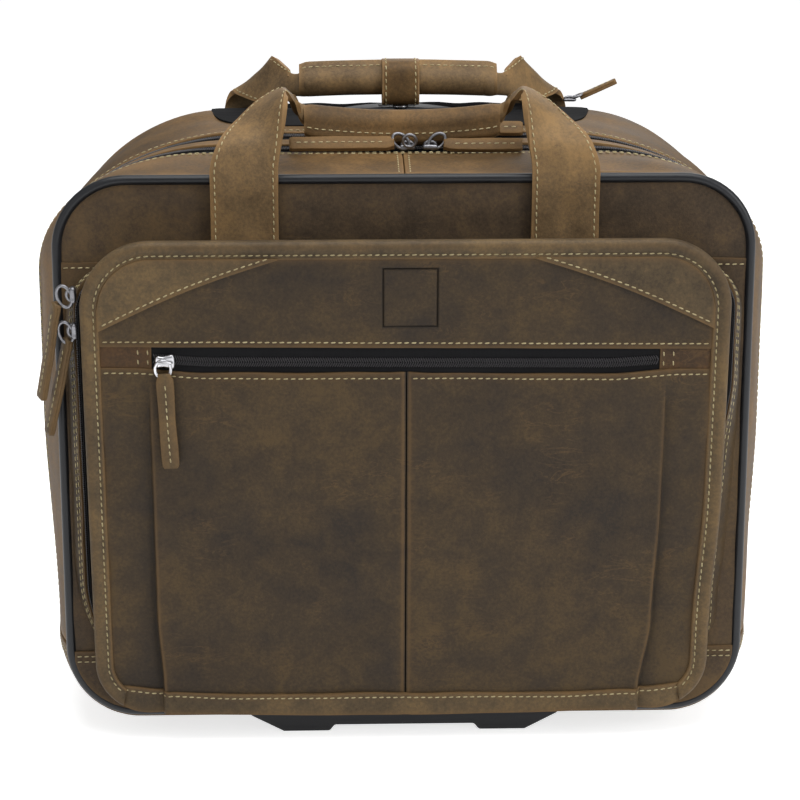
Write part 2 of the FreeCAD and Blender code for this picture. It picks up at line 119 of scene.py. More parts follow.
def flowing(at, knots, values):
    """Smooth curve through values at knots: a cubic between neighbours, sloped by the points either side."""
    knots, values = np.asarray(knots, float), np.asarray(values, float)
    slopes = np.gradient(values, knots, axis=0)
    at = np.atleast_1d(np.asarray(at, float))
    i = np.clip(np.searchsorted(knots, at, side="right") - 1, 0, len(knots) - 2)
    step = (knots[i + 1] - knots[i])[:, None]
    t = np.clip((at - knots[i])[:, None] / step, 0.0, 1.0)
    wide = values.reshape(len(knots), -1)
    tilt = slopes.reshape(len(knots), -1)
    curve = ((1 + 2 * t) * (1 - t) ** 2 * wide[i] + t * (1 - t) ** 2 * step * tilt[i]
             + t * t * (3 - 2 * t) * wide[i + 1] + t * t * (t - 1) * step * tilt[i + 1])
    return curve.reshape((len(at),) + values.shape[1:])


def lengths(line):
    """Distance walked along a line of points, from 0."""
    return np.concatenate([[0.0], np.cumsum(np.linalg.norm(np.diff(line, axis=0), axis=1))])


def evenly(line, count):
    """The line again as count points at equal distances along it."""
    walked = lengths(line)
    at = np.linspace(0.0, walked[-1], count)
    return np.stack([np.interp(at, walked, line[:, k]) for k in range(line.shape[1])], 1)


def crowded(start, stop, count, margin):
    """Numbers from start to stop, with extra ones close to both ends for the rolled edges."""
    near = np.array([0.0, 0.25, 0.55, 1.0]) * margin
    inner = np.linspace(start + margin, stop - margin, count)
    return np.unique(np.concatenate([start + near, inner, stop - near]))


def ripple(points, wave, depth, seed=0):
    """Soft unevenness of hide: the mean of six sines of different direction and wavelength, times depth."""
    draw = np.random.default_rng(seed)
    total = 0.0
    for _ in range(6):
        way = unit(draw.normal(size=3)) * 2 * math.pi / (wave * draw.uniform(0.6, 1.7))
        total = total + np.sin(points @ way + draw.uniform(0, 6.28))
    return total * depth / 3.0


def tilted(points, degrees, y):
    """Points turned forward about the line across the case at y and the hinge height."""
    turn = math.radians(degrees)
    out = np.array(points, float)
    dy, dz = out[..., 1] - y, out[..., 2] - HINGE_Z
    out[..., 1] = y + dy * math.cos(turn) - dz * math.sin(turn)
    out[..., 2] = HINGE_Z + dy * math.sin(turn) + dz * math.cos(turn)
    return out


def on_flap(points):
    """Points drawn upright, set on the leaning flap."""
    return tilted(points, FLAP_TILT, FLAP_Y)


# ---- outlines -------------------------------------------------------------------------------------
def shrunk(shape, inset):
    """Rounded-rectangle numbers drawn in on every side."""
    half, low, high, *bends = shape
    return (half - inset, low + inset, high - inset, *(max(bend - inset, 1.0) for bend in bends))


def right_side(shape):
    """The right half of a rounded rectangle from bottom middle to top middle: line, quarter circle, line,
    quarter ellipse, line."""
    half, low, high, r_low, across, down = shape
    turn = np.linspace(0.0, math.pi / 2, 33)
    low_x, low_z = half - r_low + r_low * np.sin(turn), low + r_low - r_low * np.cos(turn)
    high_x, high_z = half - across + across * np.cos(turn), high - down + down * np.sin(turn)
    x = np.concatenate([[0.0], low_x, high_x, [0.0]])
    z = np.concatenate([[low], low_z, high_z, [high]])
    return np.stack([x, z], 1)


def cut_at(line, z, above):
    """The part of a rising line above or below z, with its new end exactly at z."""
    x = np.interp(z, line[:, 1] + np.arange(len(line)) * 1e-7, line[:, 0])
    keep = line[:, 1] > z if above else line[:, 1] < z
    end = np.array([[x, z]])
    return np.vstack([end, line[keep]] if above else [line[keep], end])


def ring_of(shape, y, count):
    """A whole rounded rectangle at depth y as a closed ring that starts at the bottom middle."""
    right = right_side(shape)
    loop = evenly(np.vstack([right, (right * (-1, 1))[::-1]]), count + 1)[:-1]
    return np.stack([loop[:, 0], np.full(count, y), loop[:, 1]], 1)


def arch_of(shape, y, z, count):
    """A rounded rectangle above z at depth y, from the left side over the top to the right side."""
    right = cut_at(right_side(shape), z, True)
    line = evenly(np.vstack([right * (-1, 1), right[::-1]]), count)
    return np.stack([line[:, 0], np.full(count, y), line[:, 1]], 1)


def waisted(points):
    """The sides of the body drawn in a little towards the floor, from nothing at the front edge."""
    out = np.array(points, float)
    share = 0.024 * ease((out[..., 2] * -1 + 200.0) / 140.0) * ease(out[..., 1] / 60.0)
    out[..., 0] *= 1.0 - share
    return out


def body_rows(depths, inset, z, count, line_of=arch_of):
    """Rows of the body's skin at the given depths, drawn in by inset: each row is the section's outline."""
    shapes = flowing(depths, BODY_SECTIONS[:, 0], BODY_SECTIONS[:, 1:])
    insets = np.broadcast_to(inset, len(shapes))
    rows = [line_of(shrunk((half, BODY_LOW, high, *bends), i), y, z, count)
            for (half, high, *bends), y, i in zip(shapes, np.atleast_1d(depths), insets)]
    return waisted(np.array(rows))


def edges_low(shape, x):
    """Height of a rounded rectangle's lower edge over x."""
    half, low, _, r = shape[:4]
    over = np.clip(np.abs(x) - (half - r), 0.0, r)
    return low + r - np.sqrt(r * r - over * over)


def edges_high(shape, x):
    """Height of a rounded rectangle's upper edge over x."""
    half, _, high, _, across, down = shape
    over = np.clip((np.abs(x) - (half - across)) / across, 0.0, 1.0)
    return high - down + down * np.sqrt(1.0 - over * over)


def standing(x, low, high, face, rows=24, margin=6.0):
    """A sheet that stands across the case: column x runs from low(x) to high(x), at depth face(x, z)."""
    share = crowded(0.0, 1.0, rows, margin / max(float(np.max(high - low)), margin * 2.5))
    return standing_at(x, low, high, face, share)


def standing_at(x, low, high, face, share):
    """A standing sheet whose rows lie at the given shares of each column's height."""
    z = low[None, :] + (high - low)[None, :] * share[:, None]
    wide = np.broadcast_to(x, z.shape)
    return np.stack([wide, face(wide, z), z], -1)


# ---- meshes ---------------------------------------------------------------------------------------
class Form:
    """Gathers grids of points into one mesh, with a value per point that is edge wear above 0 and painted shade below
    0, and a finish per face.
    """

    def __init__(self):
        self.points, self.faces, self.finish, self.wear, self.count = [], [], [], [], 0

    def add(self, points, faces, finish=0, wear=0.0):
        """Adds points and a list of faces over them."""
        self.points.append(points)
        self.faces.extend((np.asarray(f) + self.count).tolist() for f in faces)
        self.finish.extend([finish] * len(faces))
        self.wear.append(np.broadcast_to(wear, len(points)))
        self.count += len(points)

    def grid(self, rows, around=False, closed=False, capped=False, away=None, finish=0, wear=0.0, keep=None):
        """A grid of points rows[i, j]. around joins the last j to the first, closed the last i to the first,
        capped closes both ends. Faces are turned outwards: away from a point, or along a direction given
        as ("way", vector), or from the rows' own middles when away is None. keep leaves out faces by their
        middles."""
        n, m = rows.shape[:2]
        index = np.arange(n * m).reshape(n, m)
        index = np.vstack([index, index[:1]]) if closed else index
        index = np.hstack([index, index[:, :1]]) if around else index
        quads = np.stack([index[:-1, :-1], index[1:, :-1], index[1:, 1:], index[:-1, 1:]], -1).reshape(-1, 4)
        flat = rows.reshape(-1, 3)
        corners = flat[quads]
        normal = np.cross(corners[:, 2] - corners[:, 0], corners[:, 3] - corners[:, 1])
        middle = corners.mean(1)
        if away is None:
            core = rows.mean(1)[np.minimum(np.arange(len(quads)) // (index.shape[1] - 1), n - 1)]
            score = np.sum(normal * (middle - core))
        elif isinstance(away[0], str):
            score = (normal @ np.asarray(away[1], float)).sum()
        else:
            score = np.sum(normal * (middle - np.asarray(away, float)))
        if keep is not None:
            quads = quads[keep(middle)]
        faces = (quads if score > 0 else quads[:, ::-1]).tolist()
        if capped:
            first, last = np.arange(m), np.arange(m) + (n - 1) * m
            turned = score > 0
            faces += [(first[::-1] if not turned else first).tolist(), (last if not turned else last[::-1]).tolist()]
        self.points.append(flat)
        self.faces.extend([[k + self.count for k in face] for face in faces])
        self.finish.extend([finish] * len(faces))
        self.wear.append(np.broadcast_to(np.asarray(wear, float), rows.shape[:2]).reshape(-1))
        self.count += len(flat)
        return self

    def piece(self, name, finishes, thick=0.0, roll=0.0, inner=0, smooth=0):
        """The finished object: thick gives a sheet its wall, inner the finish of that wall's inside, roll
        rounds its rims, smooth subdivides it."""
        mesh = bpy.data.meshes.new(name)
        mesh.from_pydata(place(np.concatenate(self.points)).tolist(), [], self.faces)
        for finish in finishes:
            mesh.materials.append(FINISHES[finish])
        mesh.polygons.foreach_set("material_index", np.array(self.finish, np.int32))
        mesh.polygons.foreach_set("use_smooth", np.ones(len(self.faces), bool))
        # the per-point value: rubbed wear above 0, painted shade below 0
        attribute = mesh.attributes.new("wear", "FLOAT", "POINT")
        attribute.data.foreach_set("value", np.concatenate(self.wear).astype(np.float32))
        mesh.update()
        made = bpy.data.objects.new(name, mesh)
        bpy.context.scene.collection.objects.link(made)
        if thick:
            wall = made.modifiers.new("wall", "SOLIDIFY")
            wall.thickness, wall.offset, wall.material_offset = thick * MM, -1.0, inner
            wall.use_quality_normals = True
        if roll:
            rim = made.modifiers.new("rim", "BEVEL")
            rim.width, rim.segments, rim.limit_method = roll * MM, 3, "ANGLE"
            rim.angle_limit = math.radians(50)
        if smooth:
            finer = made.modifiers.new("finer", "SUBSURF")
            finer.levels = finer.render_levels = smooth
        return made


def settle(piece, body, slot, *nodes):
    """Puts a piece on its body and hides the solids it stands for; slot is not used."""
    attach(piece, body)
    if nodes:
        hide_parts(*nodes)
    return piece


def edge_wear(rows, reach=2.5):
    """Wear that is 1 on the border of a grid and fades inwards over reach."""
    def from_end(axis):
        step = np.linalg.norm(np.diff(rows, axis=axis), axis=-1)
        pad = [(1, 0), (0, 0)] if axis == 0 else [(0, 0), (1, 0)]
        walked = np.cumsum(np.pad(step, pad), axis=axis)
        whole = np.take(walked, [-1], axis=axis)
        return np.minimum(walked, whole - walked)
    return np.exp(-np.minimum(from_end(0), from_end(1)) / reach)


def bead():
    """A small long bead along X, one unit long, wide and high: circles that shrink to both tips."""
    along = np.array([-0.5, -0.3, 0.3, 0.5])
    size = np.array([0.3, 1.0, 1.0, 0.3]) * 0.5
    turn = np.arange(6) * math.pi / 3
    rings = np.stack([np.broadcast_to(along[:, None], (4, 6)), size[:, None] * np.cos(turn),
                      size[:, None] * np.sin(turn)], -1)
    quads = [(i * 6 + j, i * 6 + (j + 1) % 6, (i + 1) * 6 + (j + 1) % 6, (i + 1) * 6 + j)
             for i in range(3) for j in range(6)]
    return rings.reshape(-1, 3), quads + [tuple(range(5, -1, -1)), tuple(range(18, 24))]


BEAD_POINTS, BEAD_FACES = bead()
TOOTH_SIZE, TOOTH_LIFT = (3.4, 0.8, 1.3), 0.6
STITCH_SHARE, STITCH_WIDE, STITCH_HIGH = 0.66, 0.82, 0.7


def scatter(form, line, normals, pitch, size, slant=0.0, aside=0.0, lift=0.0, finish=0, shift=0.5):
    """Beads of one size along a line at a pitch. Each is turned by slant in the surface, moved aside across
    the line and lifted along the normal."""
    walked = lengths(line)
    count = int(walked[-1] / pitch)
    if count < 1:
        return form
    at = (np.arange(count) + shift) * walked[-1] / count
    centre = np.stack([np.interp(at, walked, line[:, k]) for k in range(3)], 1)
    ahead = np.stack([np.interp(at + 0.4, walked, line[:, k]) for k in range(3)], 1)
    behind = np.stack([np.interp(at - 0.4, walked, line[:, k]) for k in range(3)], 1)
    up = unit(np.stack([np.interp(at, walked, normals[:, k]) for k in range(3)], 1))
    along = unit(ahead - behind)
    up = unit(up - along * np.sum(up * along, 1, keepdims=True))
    side = np.cross(up, along)
    turn = math.radians(slant)
    way = along * math.cos(turn) + side * math.sin(turn)
    cross = side * math.cos(turn) - along * math.sin(turn)
    centre = centre + side * aside + up * lift
    local = BEAD_POINTS * np.array(size)
    points = (centre[:, None] + local[None, :, :1] * way[:, None] + local[None, :, 1:2] * cross[:, None]
              + local[None, :, 2:] * up[:, None])
    faces = (np.arange(count)[:, None, None] * len(BEAD_POINTS))
    quads = (faces + np.array(BEAD_FACES[:-2])[None]).reshape(-1, 4)
    tips = (faces + np.array(BEAD_FACES[-2:])[None]).reshape(-1, 6)
    form.add(points.reshape(-1, 3), list(quads) + list(tips), finish)
    return form


def stitch(form, line, normals, lift=0.12):
    """A row of thread stitches along a line on the leather."""
    sizes = bpy.context.scene.case_sizes
    pitch = sizes.stitch_pitch / MM
    return scatter(form, line, normals, pitch, (pitch * STITCH_SHARE, STITCH_WIDE, STITCH_HIGH), slant=5.0, lift=lift)


def facing(line, way):
    """The same direction at every point of a line."""
    return np.broadcast_to(np.asarray(way, float), line.shape)


def outward(line, lean=(0.0, 0.0, 0.0)):
    """Normals of a line that goes round the body: across both the walk and the depth, pointing outwards."""
    along = unit(np.gradient(line, axis=0))
    across = np.cross(along, (0.0, 1.0, 0.0))
    middle = line - np.array([0.0, 0.0, 190.0]) - line * (0, 1, 0)
    sign = np.sign(np.sum(across * middle, 1, keepdims=True))
    return unit(across * sign + np.asarray(lean))


def hose(form, line, radius, closed=False, sides=14, capped=True, flat=1.0, up=(0.0, 0.0, 1.0), finish=0):
    """A round bar along a line: at each point a circle across the walk, squeezed by flat along up."""
    ahead = np.roll(line, -1, 0) - np.roll(line, 1, 0) if closed else np.gradient(line, axis=0)
    along = unit(ahead)
    side = unit(np.cross(along, np.asarray(up, float)))
    top = np.cross(side, along)
    turn = np.linspace(0, 2 * math.pi, sides, endpoint=False)
    radius = np.broadcast_to(radius, len(line))[:, None, None]
    rows = line[:, None] + radius * (side[:, None] * np.cos(turn)[None, :, None]
                                     + flat * top[:, None] * np.sin(turn)[None, :, None])
    form.grid(rows, around=True, closed=closed, capped=capped and not closed, away=None, finish=finish)
    return form


# ---- finishes -------------------------------------------------------------------------------------
class Link:
    """A node's output that Python arithmetic works on: each operation adds its Math node."""

    def __init__(self, finish, socket):
        self.finish, self.socket = finish, socket

    def _math(self, operation, first, second=0.0, clamped=False):
        return self.finish.node("ShaderNodeMath", {"operation": operation, "use_clamp": clamped},
                                {0: first, 1: second})

    def __add__(self, other):
        return self._math("ADD", self, other)

    def __sub__(self, other):
        return self._math("SUBTRACT", self, other)

    def __rsub__(self, other):
        return self._math("SUBTRACT", other, self)

    def __mul__(self, other):
        return self._math("MULTIPLY", self, other)

    def __truediv__(self, other):
        return self._math("DIVIDE", self, other)

    def __neg__(self):
        return self._math("MULTIPLY", self, -1.0)

    def __abs__(self):
        return self._math("ABSOLUTE", self)

    def clamped(self):
        """The value held between 0 and 1."""
        return self._math("ADD", self, 0.0, True)

    def over(self, low, high):
        """0 at low, 1 at high, straight between and held outside."""
        return ((self - low) / (high - low)).clamped()

    __radd__ = __add__
    __rmul__ = __mul__


class Finish:
    """A procedural material: node() makes any node, and set() feeds the shader."""

    def __init__(self, name, **fixed):
        self.material = bpy.data.materials.new(name)
        self.material.use_nodes = True
        self.tree = self.material.node_tree
        self.shader = self.tree.nodes["Principled BSDF"]
        self.set(**fixed)

    def node(self, kind, settings, sockets, output=0):
        """Makes a node: its settings first, a ramp's stops among them, then its sockets' values or links."""
        made = self.tree.nodes.new(kind)
        for name, value in settings.items():
            if name == "stops":
                for k, (at, colour) in enumerate(value):
                    stop = made.color_ramp.elements[k] if k < 2 else made.color_ramp.elements.new(at)
                    stop.position, stop.color = at, colour
            else:
                setattr(made, name, value)
        for name, value in sockets.items():
            if isinstance(value, Link):
                self.tree.links.new(value.socket, made.inputs[name])
            else:
                made.inputs[name].default_value = value
        return Link(self, made.outputs[output])

    def set(self, **sockets):
        """Feeds the shader's sockets; an underscore in a name stands for a space."""
        for name, value in sockets.items():
            socket = self.shader.inputs[name.replace("_", " ")]
            if isinstance(value, Link):
                self.tree.links.new(value.socket, socket)
            else:
                socket.default_value = value
        return self

    def place(self, scale=(1.0, 1.0, 1.0), turn=(0.0, 0.0, 0.0)):
        """Object coordinates in metres, scaled and turned."""
        where = self.node("ShaderNodeTexCoord", {}, {}, "Object")
        return self.node("ShaderNodeMapping", {}, {"Vector": where, "Scale": scale, "Rotation": turn})

    def noise(self, where, scale, detail=3.0, rough=0.5, distortion=0.0):
        """Cloudy noise from 0 to 1."""
        return self.node("ShaderNodeTexNoise", {}, {"Vector": where, "Scale": scale, "Detail": detail,
                                                    "Roughness": rough, "Distortion": distortion}, "Fac")

    def cells(self, where, scale, feature="F1"):
        """Distance in a pattern of cells."""
        return self.node("ShaderNodeTexVoronoi", {"feature": feature}, {"Vector": where, "Scale": scale},
                         "Distance")

    def wave(self, where, scale, direction, shape="SIN", distortion=0.0):
        """Parallel bands from 0 to 1."""
        return self.node("ShaderNodeTexWave", {"bands_direction": direction, "wave_profile": shape},
                         {"Vector": where, "Scale": scale, "Distortion": distortion}, "Fac")

    def mark(self, name):
        """The value that the mesh carries under a name."""
        return self.node("ShaderNodeAttribute", {"attribute_name": name}, {}, "Fac")

    def mix(self, share, first, second):
        """A colour between two."""
        return self.node("ShaderNodeMix", {"data_type": "RGBA"}, {0: share, 6: first, 7: second}, 2)

    def ramp(self, value, stops):
        """A colour from a value by stops."""
        return self.node("ShaderNodeValToRGB", {"stops": stops}, {"Fac": value})

    def bump(self, height, strength, depth, onto=None):
        """A normal roughened by a height in shares of depth millimetres."""
        sockets = {"Height": height, "Strength": strength, "Distance": depth * MM}
        if onto is not None:
            sockets["Normal"] = onto
        return self.node("ShaderNodeBump", {}, sockets, "Normal")


def linear(colour, gain=1.0):
    """A display colour of three numbers from 0 to 255 as a linear one with alpha."""
    share = np.array(colour, float) / 255.0
    value = np.where(share <= 0.04045, share / 12.92, ((share + 0.055) / 1.055) ** 2.4) * gain
    return (*value.tolist(), 1.0)


def leather(name, dark, middle, light, edge, rough=0.56):
    """Oiled pull-up hide: clouds and mottles between three browns, a few pale scratches, paler turned edges where the
    mesh's value is above 0, painted shade in creases, the folds' valleys, the middle seam and the pressed groove
    where it is below, and a fine pore grain."""
    skin = Finish(name, Specular_IOR_Level=0.2)
    where = skin.place()
    clouds = skin.noise(where, 9.0, 2.0, 0.5, 0.4)
    mottles = skin.noise(where, 48.0, 5.0, 0.68, 0.3)
    specks = skin.noise(where, 520.0, 3.0, 0.65)
    tone = (clouds * 0.45 + mottles * 0.55 + specks * 0.35 - 0.175).clamped()
    colour = skin.ramp(tone, [(0.35, linear(dark)), (0.65, linear(light)), (0.5, linear(middle))])
    streaks = skin.noise(skin.place((30.0, 30.0, 95.0), (0.35, 0.5, 0.2)), 1.0, 4.0, 0.6, 1.2)
    lines = (1.0 - abs(streaks - 0.5) * 42.0).clamped()
    where_lines = skin.noise(where, 23.0, 2.0, 0.5).over(0.52, 0.68)
    scuffs = skin.noise(where, 170.0, 4.0, 0.7, 0.8).over(0.6, 0.78) * skin.noise(where, 17.0, 2.0).over(0.45, 0.7)
    pale = (lines * where_lines * 0.4 + scuffs * 0.22).clamped()
    colour = skin.mix(pale, colour, linear(edge))
    worn_and_shaded = skin.mark("wear")
    rubbed = (worn_and_shaded * (0.45 + 0.75 * mottles)).clamped()
    colour = skin.mix(rubbed * 0.85, colour, linear(edge))
    # painted shade: below 0 the colour falls towards a dim brown in creases, valleys, seams and grooves
    colour = skin.mix((-worn_and_shaded).clamped(), colour, linear(dark, 0.3))
    pores = skin.cells(where, 1050.0)
    height = pores * 0.5 + specks * 0.7 + mottles * 0.6 - lines * where_lines * 0.5
    normal = skin.bump(height, 0.34, 0.35)
    skin.set(Base_Color=colour, Roughness=(rough + 0.22 * (mottles - 0.5) + 0.12 * pale).clamped(), Normal=normal)
    return skin.material


def woven(name, colour, thread, rough=0.7, scale=1500.0):
    """Plain weave: two crossing sets of narrow bands, with uneven dye."""
    cloth = Finish(name, Specular_IOR_Level=0.12)
    where = cloth.place()
    over = cloth.wave(where, scale / 6.28, "Z") * 0.5 + cloth.wave(where, scale / 6.28, "X") * 0.5
    dye = cloth.noise(where, 160.0, 3.0)
    tone = (over * 0.6 + dye * 0.4).clamped()
    cloth.set(Base_Color=cloth.mix(tone, linear(colour), linear(thread)), Roughness=(rough + 0.12 * dye).clamped(),
              Normal=cloth.bump(over, 0.5, 0.2))
    return cloth.material


def moulded(name, colour, rough, grain=900.0, strength=0.25, light=1.5):
    """Moulded plastic or rubber: a spark-eroded grain and slight change of tone."""
    body = Finish(name, Specular_IOR_Level=0.36)
    where = body.place()
    pits = body.noise(where, grain, 2.0, 0.6)
    tone = body.noise(where, 40.0, 3.0)
    brighter = linear(colour, light)
    body.set(Base_Color=body.mix(tone.over(0.3, 0.75), linear(colour), brighter),
             Roughness=(rough + 0.14 * (tone - 0.5)).clamped(), Normal=body.bump(pits, strength, 0.15))
    return body.material


def metal(name, colour, rough, brushed=(400.0, 400.0, 30.0), strength=0.08):
    """Metal with fine brushing along one way and faint tarnish."""
    bare = Finish(name)
    lines = bare.noise(bare.place(brushed), 4.0, 3.0, 0.6)
    stain = bare.noise(bare.place(), 90.0, 3.0)
    bare.set(Base_Color=bare.mix(stain.over(0.35, 0.8), linear(colour), linear(colour, 0.62)), Metallic=1.0,
             Roughness=(rough + 0.22 * (stain - 0.4) + 0.1 * lines).clamped(),
             Normal=bare.bump(lines, strength, 0.1))
    return bare.material


def yarn(name, colour, shade):
    """Waxed sewing thread: pale, with a twist that shows as darker slanting lines."""
    cord = Finish(name, Specular_IOR_Level=0.4, Sheen_Weight=0.1)
    twist = cord.wave(cord.place((1.0, 1.0, 1.0), (0.5, 0.6, 0.4)), 420.0, "DIAGONAL")
    soil = cord.noise(cord.place(), 130.0, 3.0)
    cord.set(Base_Color=cord.mix((twist * 0.25 + soil.over(0.35, 0.8) * 0.6).clamped(), linear(colour),
                                 linear(shade)), Roughness=0.58, Normal=cord.bump(twist, 0.4, 0.2))
    return cord.material


FINISHES = {}


def mix_finishes():
    """Makes every finish once, from the colours of the panel. The leather copies of one hide are partly its own tones
    and partly painted light: brighter for the upward-facing top, straps and grips, darker for the front panel and
    flap.
    """
    colours = bpy.context.scene.case_colours

    def shade(name):
        return np.array(getattr(colours, name)) * 255.0

    edge = shade("edge")
    hide = shade("hide")
    # painted light from above, together with the hide's own tones: the flap and panel copies are darker, the middle,
    # upper and strap copies brighter
    FINISHES["flap"] = leather("leather_flap", hide * (0.62, 0.62, 0.66), hide * (0.85, 0.83, 0.79),
                               hide * (1.10, 1.06, 0.92), edge * 0.86)
    FINISHES["panel"] = leather("leather_panel", hide * (0.76, 0.75, 0.76), hide * (1.03, 1.0, 0.98),
                                hide * (1.30, 1.25, 1.12), edge * 0.86)
    FINISHES["middle"] = leather("leather_middle", hide * (0.88, 0.88, 0.86), hide * (1.18, 1.18, 1.12),
                                 hide * (1.53, 1.50, 1.34), edge * 0.94)
    FINISHES["upper"] = leather("leather_upper", hide * (0.95, 0.88, 0.76), hide * (1.26, 1.15, 0.92),
                                hide * (1.6, 1.45, 1.15), edge * 1.08, 0.6)
    FINISHES["strap"] = leather("leather_strap", hide * (1.1, 1.05, 0.95), hide * (1.48, 1.43, 1.30),
                                hide * (1.85, 1.75, 1.5), edge * 1.2, 0.6)
    FINISHES["dark"] = leather("leather_dark", hide * (0.66, 0.60, 0.56), hide * (0.92, 0.82, 0.72),
                               hide * (1.22, 1.05, 0.86), edge * 0.85)
    FINISHES["thread"] = yarn("thread", shade("thread"), shade("thread") * (0.66, 0.6, 0.48))
    FINISHES["piping"] = moulded("piping_satin", (24, 25, 28), 0.38, 500.0, 0.12)
    FINISHES["tape"] = woven("zip_tape", (13, 13, 14), (36, 36, 38), 0.78, 2600.0)
    FINISHES["coil"] = moulded("zip_coil", (48, 46, 48), 0.32, 1500.0, 0.05, light=1.3)
    FINISHES["nylon"] = woven("black_nylon", (12, 12, 13), (24, 24, 26), 0.8, 3600.0)
    FINISHES["lining"] = woven("lining_cloth", (92, 74, 50), (132, 110, 78), 0.82, 3600.0)
    FINISHES["board"] = woven("board_cover", (40, 36, 32), (70, 62, 54), 0.85, 2400.0)
    FINISHES["plastic"] = moulded("black_plastic", (22, 22, 24), 0.58, 1400.0, 0.35)
    FINISHES["alloy"] = metal("anodised_tube", (190, 192, 196), 0.3)
    FINISHES["steel"] = metal("axle_steel", (160, 160, 164), 0.28, (30.0, 400.0, 400.0))
    FINISHES["gunmetal"] = metal("gunmetal", (140, 140, 144), 0.3, (300.0, 300.0, 300.0))
    FINISHES["chrome"] = metal("nickel", (214, 214, 218), 0.2, (300.0, 300.0, 300.0), 0.04)
    FINISHES["rubber"] = moulded("wheel_rubber", (26, 26, 27), 0.72, 900.0, 0.3)


# ---- the panel's values ---------------------------------------------------------------------------
class CaseSizes(bpy.types.PropertyGroup):
    """Sizes that a user of the case would change."""
    stitch_pitch: bpy.props.FloatProperty(
        name="Stitch pitch", description="Distance from one stitch to the next", default=4.3 * MM,
        min=2 * MM, max=9 * MM, precision=4, unit="LENGTH")
    hide_thick: bpy.props.FloatProperty(
        name="Leather thickness", description="Thickness of one layer of leather", default=2.2 * MM,
        min=1 * MM, max=4 * MM, precision=4, unit="LENGTH")
    tooth_pitch: bpy.props.FloatProperty(
        name="Zip tooth pitch", description="Distance between two teeth of a zip", default=1.4 * MM,
        min=1 * MM, max=4 * MM, precision=4, unit="LENGTH")


class CaseColours(bpy.types.PropertyGroup):
    """Colours that a user of the case would change."""
    hide: bpy.props.FloatVectorProperty(
        name="Leather", description="Middle brown of the hide", subtype="COLOR_GAMMA", size=3,
        default=(0.286, 0.240, 0.184), min=0.0, max=1.0)
    edge: bpy.props.FloatVectorProperty(
        name="Rubbed edge", description="Paler brown of rubbed edges and scuffs", subtype="COLOR_GAMMA", size=3,
        default=(0.47, 0.365, 0.235), min=0.0, max=1.0)
    thread: bpy.props.FloatVectorProperty(
        name="Thread", description="Colour of the sewing thread", subtype="COLOR_GAMMA", size=3,
        default=(0.74, 0.69, 0.53), min=0.0, max=1.0)


class Maker(bpy.types.Operator):
    """Makes one group of the case's pieces"""
    bl_options = {"REGISTER", "UNDO"}

    def execute(self, context):
        """Makes the group; a fault stops the script."""
        self.make(context.scene.case_sizes)
        return {"FINISHED"}


BODY_MIDDLE = (0.0, 100.0, 190.0)
UP, FORWARD, BACKWARD = (0.0, 0.0, 1.0), (0.0, -1.0, 0.0), (0.0, 1.0, 0.0)
TURNED = (0.0, -0.7, 0.71)


def half_band(depths, inset, side, count=96):
    """One half of a leather band over the body, from the tray's rim to the middle of the top."""
    def line_of(shape, y, z, n):
        right = evenly(cut_at(right_side(shape), z, True), n)
        right[:, 0] = np.maximum(right[:, 0], 0.25)
        return np.stack([right[:, 0], np.full(n, y), right[:, 1]], 1)
    rows = body_rows(depths, inset, TRAY_TOP + 0.6, count, line_of)
    rows = rows * (side, 1.0, 1.0)
    away = unit(rows - np.array([0.0, 0.0, 190.0]) - rows * (0, 1, 0))
    return rows + away * ripple(rows, 46.0, 0.5, 3)[..., None]


def band_line(y, inset=0.0, z=TRAY_TOP + 3.0, count=500):
    """A line over the body at one depth."""
    return body_rows([y], inset, z, count)[0]


def side_line(z, y0, y1, side, inset):
    """A line along one side of the body at one height."""
    depths = np.linspace(y0, y1, 80)
    shapes = flowing(depths, BODY_SECTIONS[:, 0], BODY_SECTIONS[:, 1:])
    half, r = shapes[:, 0] - inset, shapes[:, 2] - inset
    under = np.clip(BODY_LOW + inset + r - z, 0.0, None)
    x = half - r + np.sqrt(r * r - under * under)
    return waisted(np.stack([side * x, depths, np.full(80, z)], 1))


WHEEL_X, HOUSING_HALF, HOUSING_FRONT, HOUSING_TOP = 152.0, 18.0, 152.0, 59.4
TRAY_COLUMNS = np.unique(np.concatenate([np.linspace(-180, 180, 61), [-170.0, -134.0, 134.0, 170.0]]))


def tray_row(shape, y, z, count):
    """A section of the tray from its left rim under the floor to its right rim, with columns at the wheel
    openings' edges."""
    half, low, _, r = shape[:4]
    reach = edges_low(shape, np.array([180.0]))[0]
    rise = reach + (z - reach) * crowded(0.0, 1.0, count, 0.12)[1:]
    x = half - r + np.sqrt(np.clip(r * r - np.clip(low + r - rise, 0.0, None) ** 2, 0.0, None))
    right = np.stack([x, np.full(len(x), y), rise], 1)
    floor = np.stack([TRAY_COLUMNS, np.full(len(TRAY_COLUMNS), y), edges_low(shape, TRAY_COLUMNS)], 1)
    return np.vstack([(right * (-1, 1, 1))[::-1], floor, right])


def clear_of_wheels(middle):
    """True for faces outside the two wheel openings."""
    over = np.abs(np.abs(middle[:, 0]) - WHEEL_X) < HOUSING_HALF
    return ~(over & (middle[:, 1] > HOUSING_FRONT) & (middle[:, 2] < HOUSING_TOP))


def clear_of_tubes(middle):
    """True for faces outside the slot that the telescopic handle rises through."""
    return (np.abs(middle[:, 0]) > 73.0) | (np.abs(middle[:, 1] - 186.0) > 11.0)


